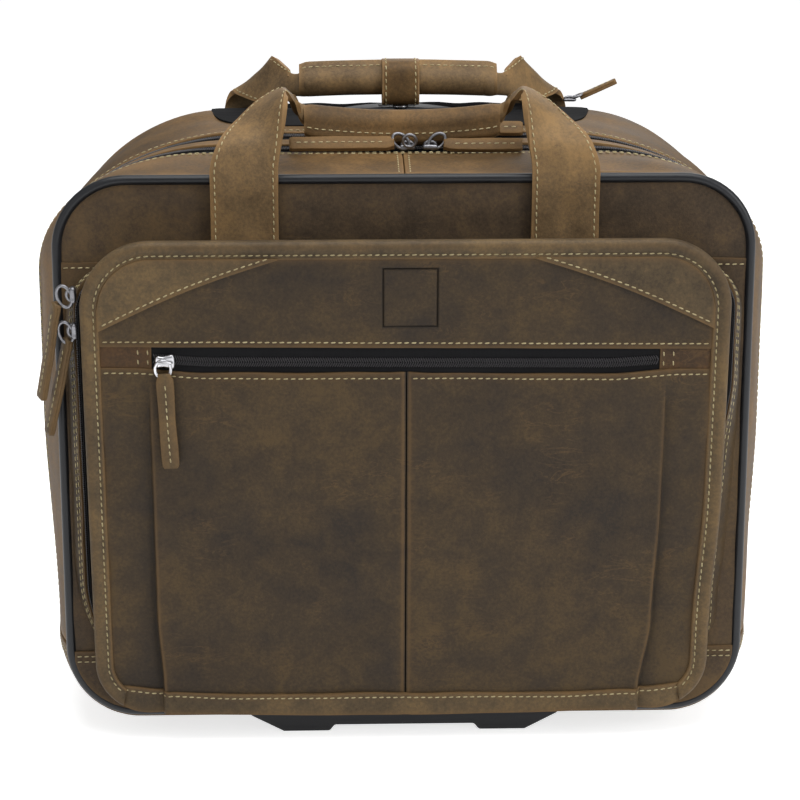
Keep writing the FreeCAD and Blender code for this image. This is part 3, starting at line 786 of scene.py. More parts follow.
class CASE_OT_body(Maker):
    """Rear gussets, back panel, divider and front gussets, and the bottom tray"""
    bl_idname = "case.body"
    bl_label = "Body"

    def make(self, sizes):
        """Bands are the body's rounded sections carried from depth to depth, with turned edges."""
        back = np.concatenate([crowded(REAR_ZIP[2], 198.0, 18, 3.0), [201.5, 204.0, 205.4, 206.0, 206.1]])
        back_inset = np.concatenate([np.zeros(len(back) - 5), [0.2, 1.0, 2.6, 5.0, 9.0]])
        front = crowded(2.6, FRONT_ZIP[0], 12, 3.0)
        strip = crowded(FRONT_ZIP[2], REAR_ZIP[0], 4, 2.0)
        for word, side in (("left", -1.0), ("right", 1.0)):
            for name, depths, inset, body in (("rear", back, back_inset, "case"),
                                              ("divider", strip, 0.0, "divider_section"),
                                              ("front", front, 0.0, "front_section")):
                rows = half_band(depths, inset, side)
                form = Form().grid(rows, away=BODY_MIDDLE, wear=edge_wear(rows, 2.2), keep=clear_of_tubes)
                piece = form.piece(f"{name}_gusset_leather_{word}", ["upper", "lining"], 3.4, 1.1, inner=1)
                settle(piece, body, "leather", f"{name}_gusset_{word}")

        shape = (205.0, BODY_LOW, 360.5, 50.0, 95.0, 99.0)
        inner = shrunk(shape, 7.5)
        x = -inner[0] * np.cos(np.linspace(0, math.pi, 90))

        def rear(px, pz):
            crown = (1 - (px / 200) ** 2) * ease((pz - 60) / 90) * ease((360 - pz) / 90)
            return 205.9 + 2.0 * np.clip(crown, 0, 1) + ripple(np.stack([px, px * 0, pz], -1), 60.0, 0.5, 8)

        rows = waisted(standing(x, np.maximum(edges_low(inner, x), TRAY_TOP + 0.6), edges_high(inner, x), rear))
        form = Form().grid(rows, away=("way", BACKWARD), wear=edge_wear(rows, 2.0))
        settle(form.piece("rear_panel_leather", ["middle", "lining"], 3.4, 1.0, inner=1), "case", "leather",
               "rear_panel")

        depths = np.unique(np.concatenate([crowded(2.6, 197.0, 36, 3.0), [HOUSING_FRONT]]))
        depths = np.concatenate([depths, [201.5, 204.0, 205.6, 206.3]])
        inset = np.concatenate([np.full(len(depths) - 4, -0.9), [-0.6, 0.2, 2.0, 5.0]])
        rows = body_rows(depths, inset, TRAY_TOP, 14, tray_row)
        form = Form().grid(rows, away=BODY_MIDDLE, wear=edge_wear(rows, 2.2), keep=clear_of_wheels)
        tray = form.piece("bottom_tray_leather", ["middle", "lining"], 3.6, 1.0, inner=1)
        settle(tray, "case", "leather", "bottom_tray")

        walls = Form()
        x = np.unique(np.concatenate([-196 * np.cos(np.linspace(0, math.pi, 60)), [-170, -134, 134, 170]]))
        wall_shape = (200.5, BODY_LOW + 3.4, 360.0, 46.0)
        for y, way in ((206.2, BACKWARD), (4.9, FORWARD)):
            rows = standing(x, edges_low(wall_shape, x), np.full(len(x), TRAY_TOP), lambda px, pz: px * 0 + y,
                            rows=9, margin=2.0)
            walls.grid(waisted(rows), away=("way", way), wear=edge_wear(rows, 2.0),
                       keep=clear_of_wheels if y > 100 else None)
        settle(walls.piece("bottom_tray_walls", ["middle", "lining"], 2.6, 0.8, inner=1), "case", "leather")

        thread = Form()
        line = band_line(REAR_ZIP[2] + 3.0, 0.0)
        stitch(thread, line, outward(line))
        for z in (56.0, 52.0):
            for side in (-1.0, 1.0):
                line = side_line(z, 5.0, 200.0, side, -0.9)
                stitch(thread, line, facing(line, (side, 0.0, -0.15)))
        settle(thread.piece("case_stitches", ["thread"]), "case", "thread")
        thread = Form()
        for y in (FRONT_ZIP[0] - 2.6, FRONT_ZIP[0] - 5.4):
            line = band_line(y, 0.0)
            stitch(thread, line, outward(line))
        for x in (-3.4, 3.4):
            y = np.linspace(4.0, FRONT_ZIP[0] - 9.0, 60)
            top = flowing(y, BODY_SECTIONS[:, 0], BODY_SECTIONS[:, 2])
            line = np.stack([np.full(60, x), y, top], 1)
            stitch(thread, line, facing(line, UP))
        settle(thread.piece("front_gusset_stitches", ["thread"]), "front_section", "thread")


def coil(form, line, normals, slant, pitch):
    """A row of zip teeth that lean by slant across a line."""
    return scatter(form, line, normals, pitch, TOOTH_SIZE, slant=slant, lift=TOOTH_LIFT)


class CASE_OT_zips(Maker):
    """Zip tapes and teeth of both compartments"""
    bl_idname = "case.zips"
    bl_label = "Zips"

    def make(self, sizes):
        """Each tape is a band a little below the leather; teeth stand in two leaning rows at its meeting
        line."""
        pitch = sizes.tooth_pitch / MM
        table = (("front_zip_tape", "front_section", ((FRONT_ZIP[0] - 0.4, FRONT_ZIP[1] - 0.2),),
                  ("front_zip_tape",)),
                 ("divider_zip_tapes", "divider_section",
                  ((FRONT_ZIP[1] + 0.2, FRONT_ZIP[2] + 0.4), (REAR_ZIP[0] - 0.4, REAR_ZIP[1] - 0.2)),
                  ("divider_zip_tapes",)),
                 ("rear_zip_tape", "case", ((REAR_ZIP[1] + 0.2, REAR_ZIP[2] + 0.4),), ("rear_zip_tape",)))
        for name, body, spans, nodes in table:
            tape = Form()
            for y0, y1 in spans:
                rows = body_rows(np.linspace(y0, y1, 4), 1.3, TRAY_TOP + 0.6, 200)
                tape.grid(rows, away=BODY_MIDDLE)
            settle(tape.piece(name + "_woven", ["tape"], 1.1), body, "zip_black", *nodes)
        for name, body, rows in (("front_zip_teeth", "front_section", ((FRONT_ZIP[1] - 1.45, 62),)),
                                 ("divider_zip_teeth", "divider_section",
                                  ((FRONT_ZIP[1] + 1.45, -62), (REAR_ZIP[1] - 1.45, 62))),
                                 ("rear_zip_teeth", "case", ((REAR_ZIP[1] + 1.45, -62),))):
            teeth = Form()
            for y, slant in rows:
                line = band_line(y, 1.0, TRAY_TOP + 2.0)
                coil(teeth, line, outward(line), slant, pitch)
            settle(teeth.piece(name, ["coil"]), body, "zip_black")


class CASE_OT_front_face(Maker):
    """Front panel in its two pieces with the bottom patch, and the piping"""
    bl_idname = "case.front_face"
    bl_label = "Front face"

    def make(self, sizes):
        """Standing sheets within a rounded rectangle; the piping is a circle carried round it."""
        thick = sizes.hide_thick / MM
        x = -PANEL[0] * np.cos(np.linspace(0, math.pi, 110))

        def sheet_face(depth, seed):
            return lambda px, pz: depth + ripple(np.stack([px, px * 0, pz], -1), 40.0, 0.35, seed)

        seam = 304.0 + x * 0
        form = Form()
        rows = standing(x, seam - 6.0, edges_high(PANEL, x), sheet_face(0.9, 5), 12, 3.0)
        form.grid(rows, away=("way", FORWARD), wear=edge_wear(rows, 1.5))
        rows = standing(x, edges_low(PANEL, x), seam + ripple(np.stack([x, x, x], -1), 50.0, 0.5, 2),
                        sheet_face(-0.4, 6), 30, 3.0)
        form.grid(rows, away=("way", FORWARD), wear=edge_wear(rows, 1.8))
        patch_x = x[np.abs(x) < PANEL[0] - 0.4]
        patch_top = 58.0 + ripple(np.stack([patch_x, patch_x, patch_x], -1), 60.0, 0.4, 4)
        rows = standing(patch_x, np.minimum(edges_low(PANEL, patch_x), patch_top - 0.5), patch_top,
                        sheet_face(-1.8, 7), 12, 3.0)
        form.grid(rows, away=("way", FORWARD), wear=edge_wear(rows, 2.0))
        settle(form.piece("front_panel_leather", ["panel", "lining"], thick, 0.7, inner=1), "front_section",
               "leather", "front_panel")

        thread = Form()
        for z, y in ((300.6, -0.6), (54.9, -2.0), (51.4, -2.0)):
            line = np.stack([np.linspace(-204, 204, 300), np.full(300, y), np.full(300, z)], 1)
            stitch(thread, line, facing(line, FORWARD))
        settle(thread.piece("front_panel_stitches", ["thread"]), "front_section", "thread")

        form = hose(Form(), ring_of(PIPING, 1.0, 320), 3.0, closed=True, sides=16, up=BACKWARD)
        settle(form.piece("front_piping_cord", ["piping"]), "front_section", "piping_black", "front_piping")


def snug(ring, heights, reach):
    """A ring whose right side is held within the reach given over height."""
    out = ring.copy()
    out[:, 0] = np.minimum(out[:, 0], np.interp(out[:, 2], heights, reach))
    return out


def rim_ring(inset, y, tilt, about):
    """The organizer band's leaning rim, snug to the flap on the lower right."""
    ring = snug(ring_of(shrunk(ORGANIZER_RIM, inset), y, 260), (0, 110, 160, 192, 215, 240, 400),
                np.array((186, 186.5, 188.5, 190.5, 194, 197, 999)) - inset)
    return tilted(ring, tilt, about)


class CASE_OT_organizer(Maker):
    """The organizer pocket's band, zip and inner pockets"""
    bl_idname = "case.organizer"
    bl_label = "Organizer"

    def make(self, sizes):
        """A band ruled between two rounded rectangles, with the zip between it and the flap."""
        share = crowded(0.0, 1.0, 7, 0.14)[:, None, None]
        base = snug(ring_of(ORGANIZER_BASE, -0.5, 260), (0, 63, 97, 120, 144, 173, 210, 400),
                    (193.5, 193.7, 194.6, 197.8, 199.2, 201.4, 203.4, 999))
        rim = rim_ring(0.0, BAND_Y, BAND_TILT, BAND_Y)
        rows = base * (1 - share) + rim * share
        away = unit(rim - np.array([0, 0, 170.0]) - rim * (0, 1, 0))
        rows = rows + away * (0.8 * np.sin(share * math.pi) + ripple(rows, 30.0, 0.35, 11)[..., None])
        wear = edge_wear(rows, 2.0) * np.linspace(0.2, 1.0, len(rows))[:, None]
        form = Form().grid(rows, around=True, away=(0.0, -10.0, 170.0), wear=wear)
        settle(form.piece("organizer_gusset_leather", ["flap", "lining"], 2.6, 0.9, inner=1), "front_section",
               "leather", "organizer_gusset")
        thread = Form()
        for part in (0.70, 0.88):
            line = base * (1 - part) + rim * part + away * (0.8 * math.sin(part * math.pi) + 0.1)
            line = np.vstack([line, line[:1]])
            keep = line[:, 2] > 20.0
            stitch(thread, line[keep], np.vstack([away, away[:1]])[keep])
        settle(thread.piece("organizer_stitches", ["thread"]), "front_section", "thread")

        near = rim_ring(3.2, BAND_Y + 1.2, BAND_TILT, BAND_Y)
        far = rim_ring(3.2, FLAP_Y + 0.9, FLAP_TILT, FLAP_Y)
        share = np.linspace(0, 1, 5)[:, None, None]
        form = Form().grid(near * (1 - share) + far * share, around=True, away=(0.0, -10.0, 170.0))
        settle(form.piece("organizer_zip_woven", ["tape"], 0.9), "front_section", "zip_black", "organizer_zip_tape")
        teeth = Form()
        for part, slant in ((0.5, 62), (0.78, -62)):
            line = near * (1 - part) + far * part + away * 0.25
            keep = line[:, 2] > 60.0
            order = np.roll(np.arange(260), -int(np.argmax(~keep)))
            line, normal = line[order], away[order]
            keep = line[:, 2] > 60.0
            coil(teeth, line[keep], normal[keep], slant, sizes.tooth_pitch / MM)
        settle(teeth.piece("organizer_zip_teeth", ["coil"]), "front_section", "zip_black")

        form = Form()

        def puffed(x0, x1, z0, z1, depth):
            x, middle, wide = crowded(x0, x1, 10, 2.0), (x0 + x1) / 2, (x1 - x0) / 2

            def face(px, pz):
                full = np.clip(1 - ((px - middle) / wide) ** 2, 0, 1) ** 0.4
                return -0.8 - depth * full * ease((pz - z0) / 12.0)
            rows = standing(x, x * 0 + z0, x * 0 + z1, face, 10, 2.0)
            form.grid(rows, away=("way", FORWARD), wear=0.0)

        puffed(-165, -10, 60, 190, 2.4)
        puffed(10, 86, 60, 150, 2.4)
        puffed(92, 165, 60, 150, 2.4)
        for x0 in (20, 44, 68):
            puffed(x0, x0 + 14, 168, 186, 2.4)
        settle(form.piece("organizer_pocket_cloth", ["nylon"], 0.9, 0.35), "front_section", "nylon_black",
               "organizer_pockets")


FIELD = shrunk(FLAP, BINDING_WIDE)
# distance in from the flap's outer edge, and how far that point stands in front of the panel
BINDING_PROFILE = np.array([(0.3, -5.4), (0.0, -3.0), (0.0, -1.2), (0.5, 0.4), (1.8, 1.4), (3.6, 1.9), (5.4, 1.6),
                            (6.8, 0.9), (7.7, 0.3), (8.4, 0.3), (9.2, 0.8), (10.3, 0.7), (10.9, 0.0), (10.9, -2.5),
                            (6.0, -5.4)])


def flapped(points):
    """Points drawn upright brought onto the flap, whose right side draws in a little towards its foot."""
    out = np.array(points, float)
    out[..., 0] *= 1.0 - 0.02 * ease((165.0 - out[..., 2]) / 90.0) * (out[..., 0] > 0)
    return on_flap(out)


def folded(points):
    """Points of the lower flap with the upright folds at x = 150 moved out, and back in towards the foot,
    before they go onto the flap."""
    out = np.array(points, float)
    x, z = out[..., 0], out[..., 2]
    fold = np.where(x > 0, 154.2 - 6.8 * ease((82.0 - z) / 50.0), 151.8 - 2.6 * ease((90.0 - z) / 55.0))
    wide = FIELD[0] + 0.6
    beyond = fold + (np.abs(x) - 150.0) * (wide - fold) / (wide - 150.0)
    out[..., 0] = np.sign(x) * np.where(np.abs(x) < 150.0, np.abs(x) / 150.0 * fold, beyond)
    return flapped(out)


def fold_marks(x, z):
    """Depth of the folds at a height, the recessed side's share, and how close a point lies beside them."""
    deep = ease((246.0 - z) / 30.0) * (0.55 + 0.45 * ease((200.0 - z) / 120.0))
    side = ease((np.abs(x) - 149.4) / 1.6)
    return deep, side, np.exp(-np.clip(np.abs(x) - 151.0, 0.0, None) / 6.0) * side


def pleat(x, z):
    """Depth of the lower flap: its middle stands forward of two recessed sides along upright folds, and
    falls into the seam at the middle."""
    deep, side, valley = fold_marks(x, z)
    lip = np.exp(-((np.abs(x) - 147.5) / 3.0) ** 2) * (1 - side)
    soft = ripple(np.stack([x, x * 0, z], -1), 70.0, 0.7, 21)
    belly = np.sin(np.clip(z - 30.0, 0, 215) / 215.0 * math.pi) * np.clip(1 - (x / 150.0) ** 4, 0, 1)
    return (FLAP_FACE + deep * (side * 1.2 + valley * 1.6 - lip * 0.6 - (1 - side) * 1.1) - 1.0 * belly
            + 1.1 * np.exp(-np.abs(x) / 1.5) + soft)


def pleat_wear(rows):
    """Rubbed on the folds' lips and the seam's rims; painted shade in the folds' valleys, stronger on the left, and
    in the seam's gap at the middle.
    """
    x, z = rows[..., 0], rows[..., 2]
    deep, side, valley = fold_marks(x, z)
    lip = np.exp(-((np.abs(x) - 149.0) / 1.0) ** 2) * 0.75 + (x < 0) * (1 - side) * 0.35 * np.exp(
        -np.clip(149.4 - np.abs(x), 0, None) / 4.0)
    # seam: its rims rubbed paler, its gap at the middle painted shade
    seam = 0.5 * np.exp(-((np.abs(x) - 2.0) / 0.8) ** 2) - 1.8 * np.exp(-(x / 0.9) ** 2)
    # the valley term is painted shade beside the folds, stronger on the left, the side turned from the main lamp
    return edge_wear(rows, 1.8) + deep * (lip - np.where(x < 0, 0.65, 0.45) * valley) + seam


def slot_low(x):
    """Height of the pocket opening's lower edge, which rises towards both ends."""
    return 243.6 + 3.0 * ease((np.abs(x) - 115.0) / 45.0) - 0.0095 * x


def slot_high(x):
    """Height of the pocket opening's upper edge."""
    return 259.7 - 0.01 * x


def off_square(x, z):
    """Distance outside the pressed square's edge, below 0 within it."""
    return np.maximum(np.abs(x - 2.1) - 16.0, np.abs(z - 290.5) - 17.8)


def pressed(x, z):
    """Depth of the upper flap: flat leather with a plain pressed square."""
    off = off_square(x, z)
    square = 0.9 * np.exp(-(off / 0.6) ** 2) + 0.25 * (off < 0)
    return FLAP_FACE + square + ripple(np.stack([x, x * 0, z], -1), 60.0, 0.4, 22)


def foot_top(x):
    """Height of the foot strip's upper edge, which rises towards both sides."""
    return 33.4 + 2.0 * ease((np.abs(x) - 100.0) / 50.0) + 3.2 * ease((np.abs(x) - 150.0) / 30.0) - 0.004 * x


def foot_face(x, z):
    """Depth of the foot strip: over the pleats, and tucked under the binding at its ends."""
    return pleat(x, x * 0 + 40.0) - 1.7 + 1.2 * ease((np.abs(x) - 170.0) / 5.0)


class CASE_OT_flap(Maker):
    """The organizer's flap: panels, patches, pocket zip and rolled binding"""
    bl_idname = "case.flap"
    bl_label = "Flap"

    def make(self, sizes):
        """Standing sheets drawn upright and leaned with the flap; the binding is a rolled profile carried
        round its edge."""
        thick = sizes.hide_thick / MM
        path = [arch_of(shrunk(FLAP, a), FLAP_FACE - proud, 25.5 + 1.05 * a, 420) for a, proud in BINDING_PROFILE]
        rows = flapped(np.stack(path, 1))
        wear = np.exp(-((BINDING_PROFILE[:, 0] - 2.4) / 2.2) ** 2) * 0.35 + 0.8 * (BINDING_PROFILE[:, 0] > 10.0)
        form = Form().grid(rows, around=True, capped=True, wear=np.broadcast_to(wear, rows.shape[:2]))
        settle(form.piece("flap_binding_roll", ["middle"]), "organizer_flap", "leather", "flap_binding")

        form = Form()
        wide = FIELD[0] + 0.6
        fine = np.concatenate([np.arange(143, 158, 0.6), np.arange(0.35, 7, 0.7)])
        x = np.unique(np.concatenate([np.linspace(0.35, wide, 60), fine, wide - np.array([0, 1.0, 2.5])]))
        for side in (1.0, -1.0):
            low = np.full(len(x), 26.0)
            uneven = ripple(np.stack([x * side] * 3, -1), 45.0, 0.3, 9)
            high = slot_low(x * side) + 0.9 * np.exp(-(x / 9.0) ** 2) + uneven
            rows = standing(x * side, low, high, pleat, 60, 3.0)
            form.grid(folded(rows), away=("way", FORWARD), wear=pleat_wear(rows))
        x = np.unique(np.concatenate([np.linspace(-wide, wide, 120), np.arange(-16, -11.5, 0.4),
                                      np.arange(16, 20.5, 0.4)]))
        share = np.unique(np.concatenate([np.linspace(0, 1, 26), (np.arange(270.6, 275, 0.4) - 259.7) / 55.4,
                                          (np.arange(306.2, 310.6, 0.4) - 259.7) / 55.4]))
        rows = standing_at(x, slot_high(x), edges_high(FIELD, x) + 0.6, pressed, share)
        # painted shade: the pressed square's groove darkened through a value below 0
        groove = np.exp(-(off_square(rows[..., 0], rows[..., 2]) / 0.6) ** 2)
        form.grid(flapped(rows), away=("way", FORWARD), wear=edge_wear(rows, 1.6) - 0.9 * groove)
        settle(form.piece("flap_panel_leather", ["flap"], thick, 0.8), "organizer_flap", "leather", "flap_panel")

        form = Form()
        x = np.linspace(75.0, wide, 50)
        for side in (1.0, -1.0):
            part = (x - 75.0) / 107.0
            low = 314.5 - 44.0 * part + 3.0 * np.sin(part * math.pi)
            rows = standing(x * side, low, np.maximum(edges_high(FIELD, x) + 0.6, low + 0.4),
                            lambda px, pz: pressed(px, pz) - 1.5, 14, 2.0)
            form.grid(flapped(rows), away=("way", FORWARD), wear=edge_wear(rows, 1.6))
        settle(form.piece("flap_corner_patches", ["middle"], 1.8, 0.7), "organizer_flap", "leather")
        form = Form()
        beside = np.arange(146, 155, 1.0)
        x = np.unique(np.concatenate([np.linspace(-177, 177, 120), beside, -beside]))
        low = edges_low(FLAP, x) - 1.8 * np.clip(1 - (x / 120.0) ** 2, 0, 1)
        rows = standing(x, low, foot_top(x) + ripple(np.stack([x] * 3, -1), 60.0, 0.4, 14), foot_face, 10, 2.0)
        form.grid(folded(rows), away=("way", FORWARD), wear=edge_wear(rows, 1.8))
        settle(form.piece("flap_foot_strip", ["middle"], 2.2, 0.8), "organizer_flap", "leather")
        form = Form()
        for side in (1.0, -1.0):
            x = crowded(SLOT_HALF, wide, 12, 1.5)
            rows = standing(x * side, slot_low(x * side) - 2.5, slot_high(x * side) + 2.5,
                            lambda px, pz: px * 0 + FLAP_FACE + 1.0, 8, 1.5)
            form.grid(flapped(rows), away=("way", FORWARD), wear=edge_wear(rows, 1.2) * (np.abs(rows[..., 0]) < 156))
        settle(form.piece("flap_zip_tabs", ["dark"], 1.4, 0.6), "organizer_flap", "leather_dark")

        form = Form()
        x = np.linspace(-SLOT_HALF - 2, SLOT_HALF + 2, 120)
        rows = standing(x, slot_low(x) - 3.0, slot_high(x) + 3.0,
                        lambda px, pz: px * 0 + FLAP_FACE + 1.7, 5, 2.0)
        form.grid(flapped(rows), away=("way", FORWARD))
        settle(form.piece("pocket_zip_woven", ["tape"], 0.8), "organizer_flap", "zip_black", "pocket_zip")
        form = Form()
        for rise, slant in ((-1.4, 62), (1.4, -62)):
            x = np.linspace(-149, 149, 200)
            z = 250.3 + rise - 0.0098 * x + 2.4 * ease((np.abs(x) - 115.0) / 45.0)
            line = np.stack([x, np.full(200, FLAP_FACE + 1.6), z], 1)
            line = flapped(line)
            coil(form, line, facing(line, FORWARD), slant, sizes.tooth_pitch / MM)
        settle(form.piece("pocket_zip_teeth", ["coil"]), "organizer_flap", "zip_black")

        form = Form()
        back = shrunk(FLAP, 3.0)
        x = -back[0] * np.cos(np.linspace(0, math.pi, 70))
        rows = standing(x, edges_low(back, x), edges_high(back, x), lambda px, pz: px * 0 + FLAP_Y + 2.0, 20, 3.0)
        form.grid(flapped(rows), away=("way", BACKWARD))
        settle(form.piece("flap_lining", ["nylon"], 0.9), "organizer_flap", "nylon_black")

        thread = Form()

        def row(points, lift=0.12, onto=flapped):
            line = onto(np.array(points, float))
            stitch(thread, line, facing(line, (0.0, -1.0, 0.1)), lift)

        def across(x0, x1, height, depth):
            x = np.linspace(x0, x1, 300)
            return np.stack([x, depth(x, height(x)), height(x)], 1)

        row(across(-179, -3, lambda x: slot_low(x) - 3.2, pleat), onto=folded)
        row(across(3, 179, lambda x: slot_low(x) - 3.2, pleat), onto=folded)
        row(across(-179, 179, lambda x: slot_high(x) + 3.1, pressed))
        row(across(-175, 175, lambda x: foot_top(x) - 2.4, foot_face), onto=folded)
        for side in (1.0, -1.0):
            for x in (152.2, 158.0):
                z = np.linspace(slot_low(x * side) + 0.6, slot_high(x * side) - 0.6, 12)
                row(np.stack([np.full(12, x * side), np.full(12, FLAP_FACE + 1.0), z], 1))
            part = np.linspace(0.05, 0.97, 120)
            z = 317.2 - 44.0 * part + 3.0 * np.sin(part * math.pi)
            x = (75.0 + 107.0 * part) * side
            row(np.stack([x, pressed(x, z) - 1.5, z], 1))
        row(arch_of(shrunk(FLAP, 8.05), FLAP_FACE - 0.35, 36.0, 900))
        settle(thread.piece("flap_stitches", ["thread"]), "organizer_flap", "thread")


# ---- carry handles --------------------------------------------------------------------------------
# each handle's right strap from inside its grip out to its anchor: the outer edge's x, y, z; the inner
# edge's; the way the outer face looks; half sizes of the rolled section along the width and that way; share rolled
FRONT_STRAP = np.array([
    (48, 80.4, 371, 48, 43.6, 387, 0, 0.4, 0.92, 4.6, 7.0, 1.0),
    (60.5, 79, 376.5, 60.5, 45, 389, 0.05, 0.35, 0.93, 5.6, 6.8, 0.95),
    (68.5, 62, 395, 65.5, 36, 395.5, 0.25, 0.1, 1, 9, 6, 0.4),
    (77, 43, 401, 70.5, 9, 404, 0.5, -0.1, 0.85, 12, 4, 0.08),
    (88.5, 33, 395, 71.5, -1, 398.5, 0.8, -0.4, 0.45, 14, 3, 0),
    (99.5, 21, 386, 72.3, -5, 388, 0.6, -0.7, 0.3, 14, 3, 0),
    (110, -2, 375.5, 73.3, -6.5, 373, 0.15, -1, 0.1, 14, 3, 0),
    (114.8, -6.6, 361, 74.9, -6.6, 361, 0, -1, 0, 14, 3, 0),
    (115, -6.6, 352, 75, -6.6, 352, 0, -1, 0, 14, 3, 0),
    (115, -4.9, 338, 75, -4.9, 338, 0, -1, 0, 14, 3, 0),
    (115, -4.8, 306, 75, -4.8, 306, 0, -1, 0, 14, 3, 0),
], float)
REAR_STRAP = np.array([
    (50, 167.4, 380.5, 50, 132.6, 400.5, 0, -0.5, -0.87, 8.4, 7.6, 1.0),
    (62, 162, 377, 62, 138, 402, 0, -0.7, -0.6, 8.4, 7.4, 1.0),
    (67, 156, 378, 65, 151, 399, 0.1, -0.95, -0.2, 8, 6, 0.8),
    (75, 157.5, 376.5, 69.5, 157, 399.5, 0.2, -1, 0.05, 9, 5, 0.35),
    (88, 171, 374, 75.5, 167, 401.5, 0.55, -0.75, 0.25, 12, 4, 0.08),
    (105, 192, 377, 82, 181, 404, 0.62, 0.1, 0.62, 14, 4, 0),
    (110.5, 204, 378, 78.5, 201, 395.5, 0.3, 0.8, 0.5, 14, 4, 0),
    (114, 210, 371, 76, 210, 381, 0.1, 1, 0.1, 14, 4, 0),
    (115, 210.4, 360, 75, 210.4, 360, 0, 1, 0, 14, 4, 0),
    (115, 210.0, 335, 75, 210.0, 335, 0, 1, 0, 14, 4, 0),
    (115, 210.0, 290, 75, 210.0, 290, 0, 1, 0, 14, 4, 0),
], float)


class Strap:
    """A strap of a hand's width that lies flat at its anchor and rolls up towards the grip. Its edges are
    drawn apart, so that it may turn over on its way."""

    def __init__(self, knots, side, rows):
        flip = np.array([side, 1.0, 1.0] * 3 + [1.0] * 3)
        knots = knots * flip
        walked = lengths((knots[:, :3] + knots[:, 3:6]) / 2)
        self.reach = walked[-1]
        self.at = np.linspace(0, self.reach, rows)
        fine = flowing(self.at, walked, knots)
        self.centre = (fine[:, :3] + fine[:, 3:6]) / 2
        self.across, self.thick, self.rolled = fine[:, 9:10], fine[:, 10:11], fine[:, 11:12]
        self.width = fine[:, 3:6] - fine[:, :3]
        self.way = unit(self.width)
        self.out = unit(fine[:, 6:9] - self.way * np.sum(fine[:, 6:9] * self.way, 1, keepdims=True))

    def surface(self, w, wrap=330.0):
        """Points at shares w of the width from -0.5 to 0.5: flat, along the line between both edges; rolled,
        round an ellipse by that many degrees; between them, the two mixed."""
        angle = np.radians(wrap) * np.asarray(w, float)[None, :, None]
        flat = np.asarray(w, float)[None, :, None] * self.width[:, None]
        ellipse = (np.sin(angle) * (self.across * self.way)[:, None]
                   + np.cos(angle) * (self.thick * self.out)[:, None])
        roll = self.rolled[:, None]
        return self.centre[:, None] + (1 - roll) * flat + roll * ellipse

    def line(self, w, start, stop):
        """The line at share w between two distances from the grip, with its outward normals."""
        near = self.surface([w - 0.01, w, w + 0.01])
        keep = (self.at >= start) & (self.at <= stop)
        normal = unit(np.cross(np.gradient(near[:, 1], axis=0), near[:, 2] - near[:, 0])[keep])
        angle = math.radians(330.0) * w
        outer = (self.out * math.cos(angle) + self.way * math.sin(angle)) * self.rolled + self.out * (1 - self.rolled)
        return near[keep, 1], normal * np.sign(np.sum(normal * outer[keep], 1, keepdims=True))


def padded_core(half_length, y, z_of, depth, height):
    """A stuffed round bar across the case: ellipses that swell a little between the ends."""
    x = np.linspace(-half_length, half_length, 60)
    turn = np.linspace(0, 2 * math.pi, 32, endpoint=False)
    swell = np.sqrt(np.clip(1 - (np.abs(x) / (half_length + 0.5)) ** 14, 0, 1)) * (1 + 0.02 * np.sin(x / 9.0))
    rows = np.stack([np.broadcast_to(x[:, None], (60, 32)),
                     y + depth * swell[:, None] * np.cos(turn),
                     z_of(x)[:, None] + height * swell[:, None] * np.sin(turn)], -1)
    return Form().grid(rows, around=True, capped=True)


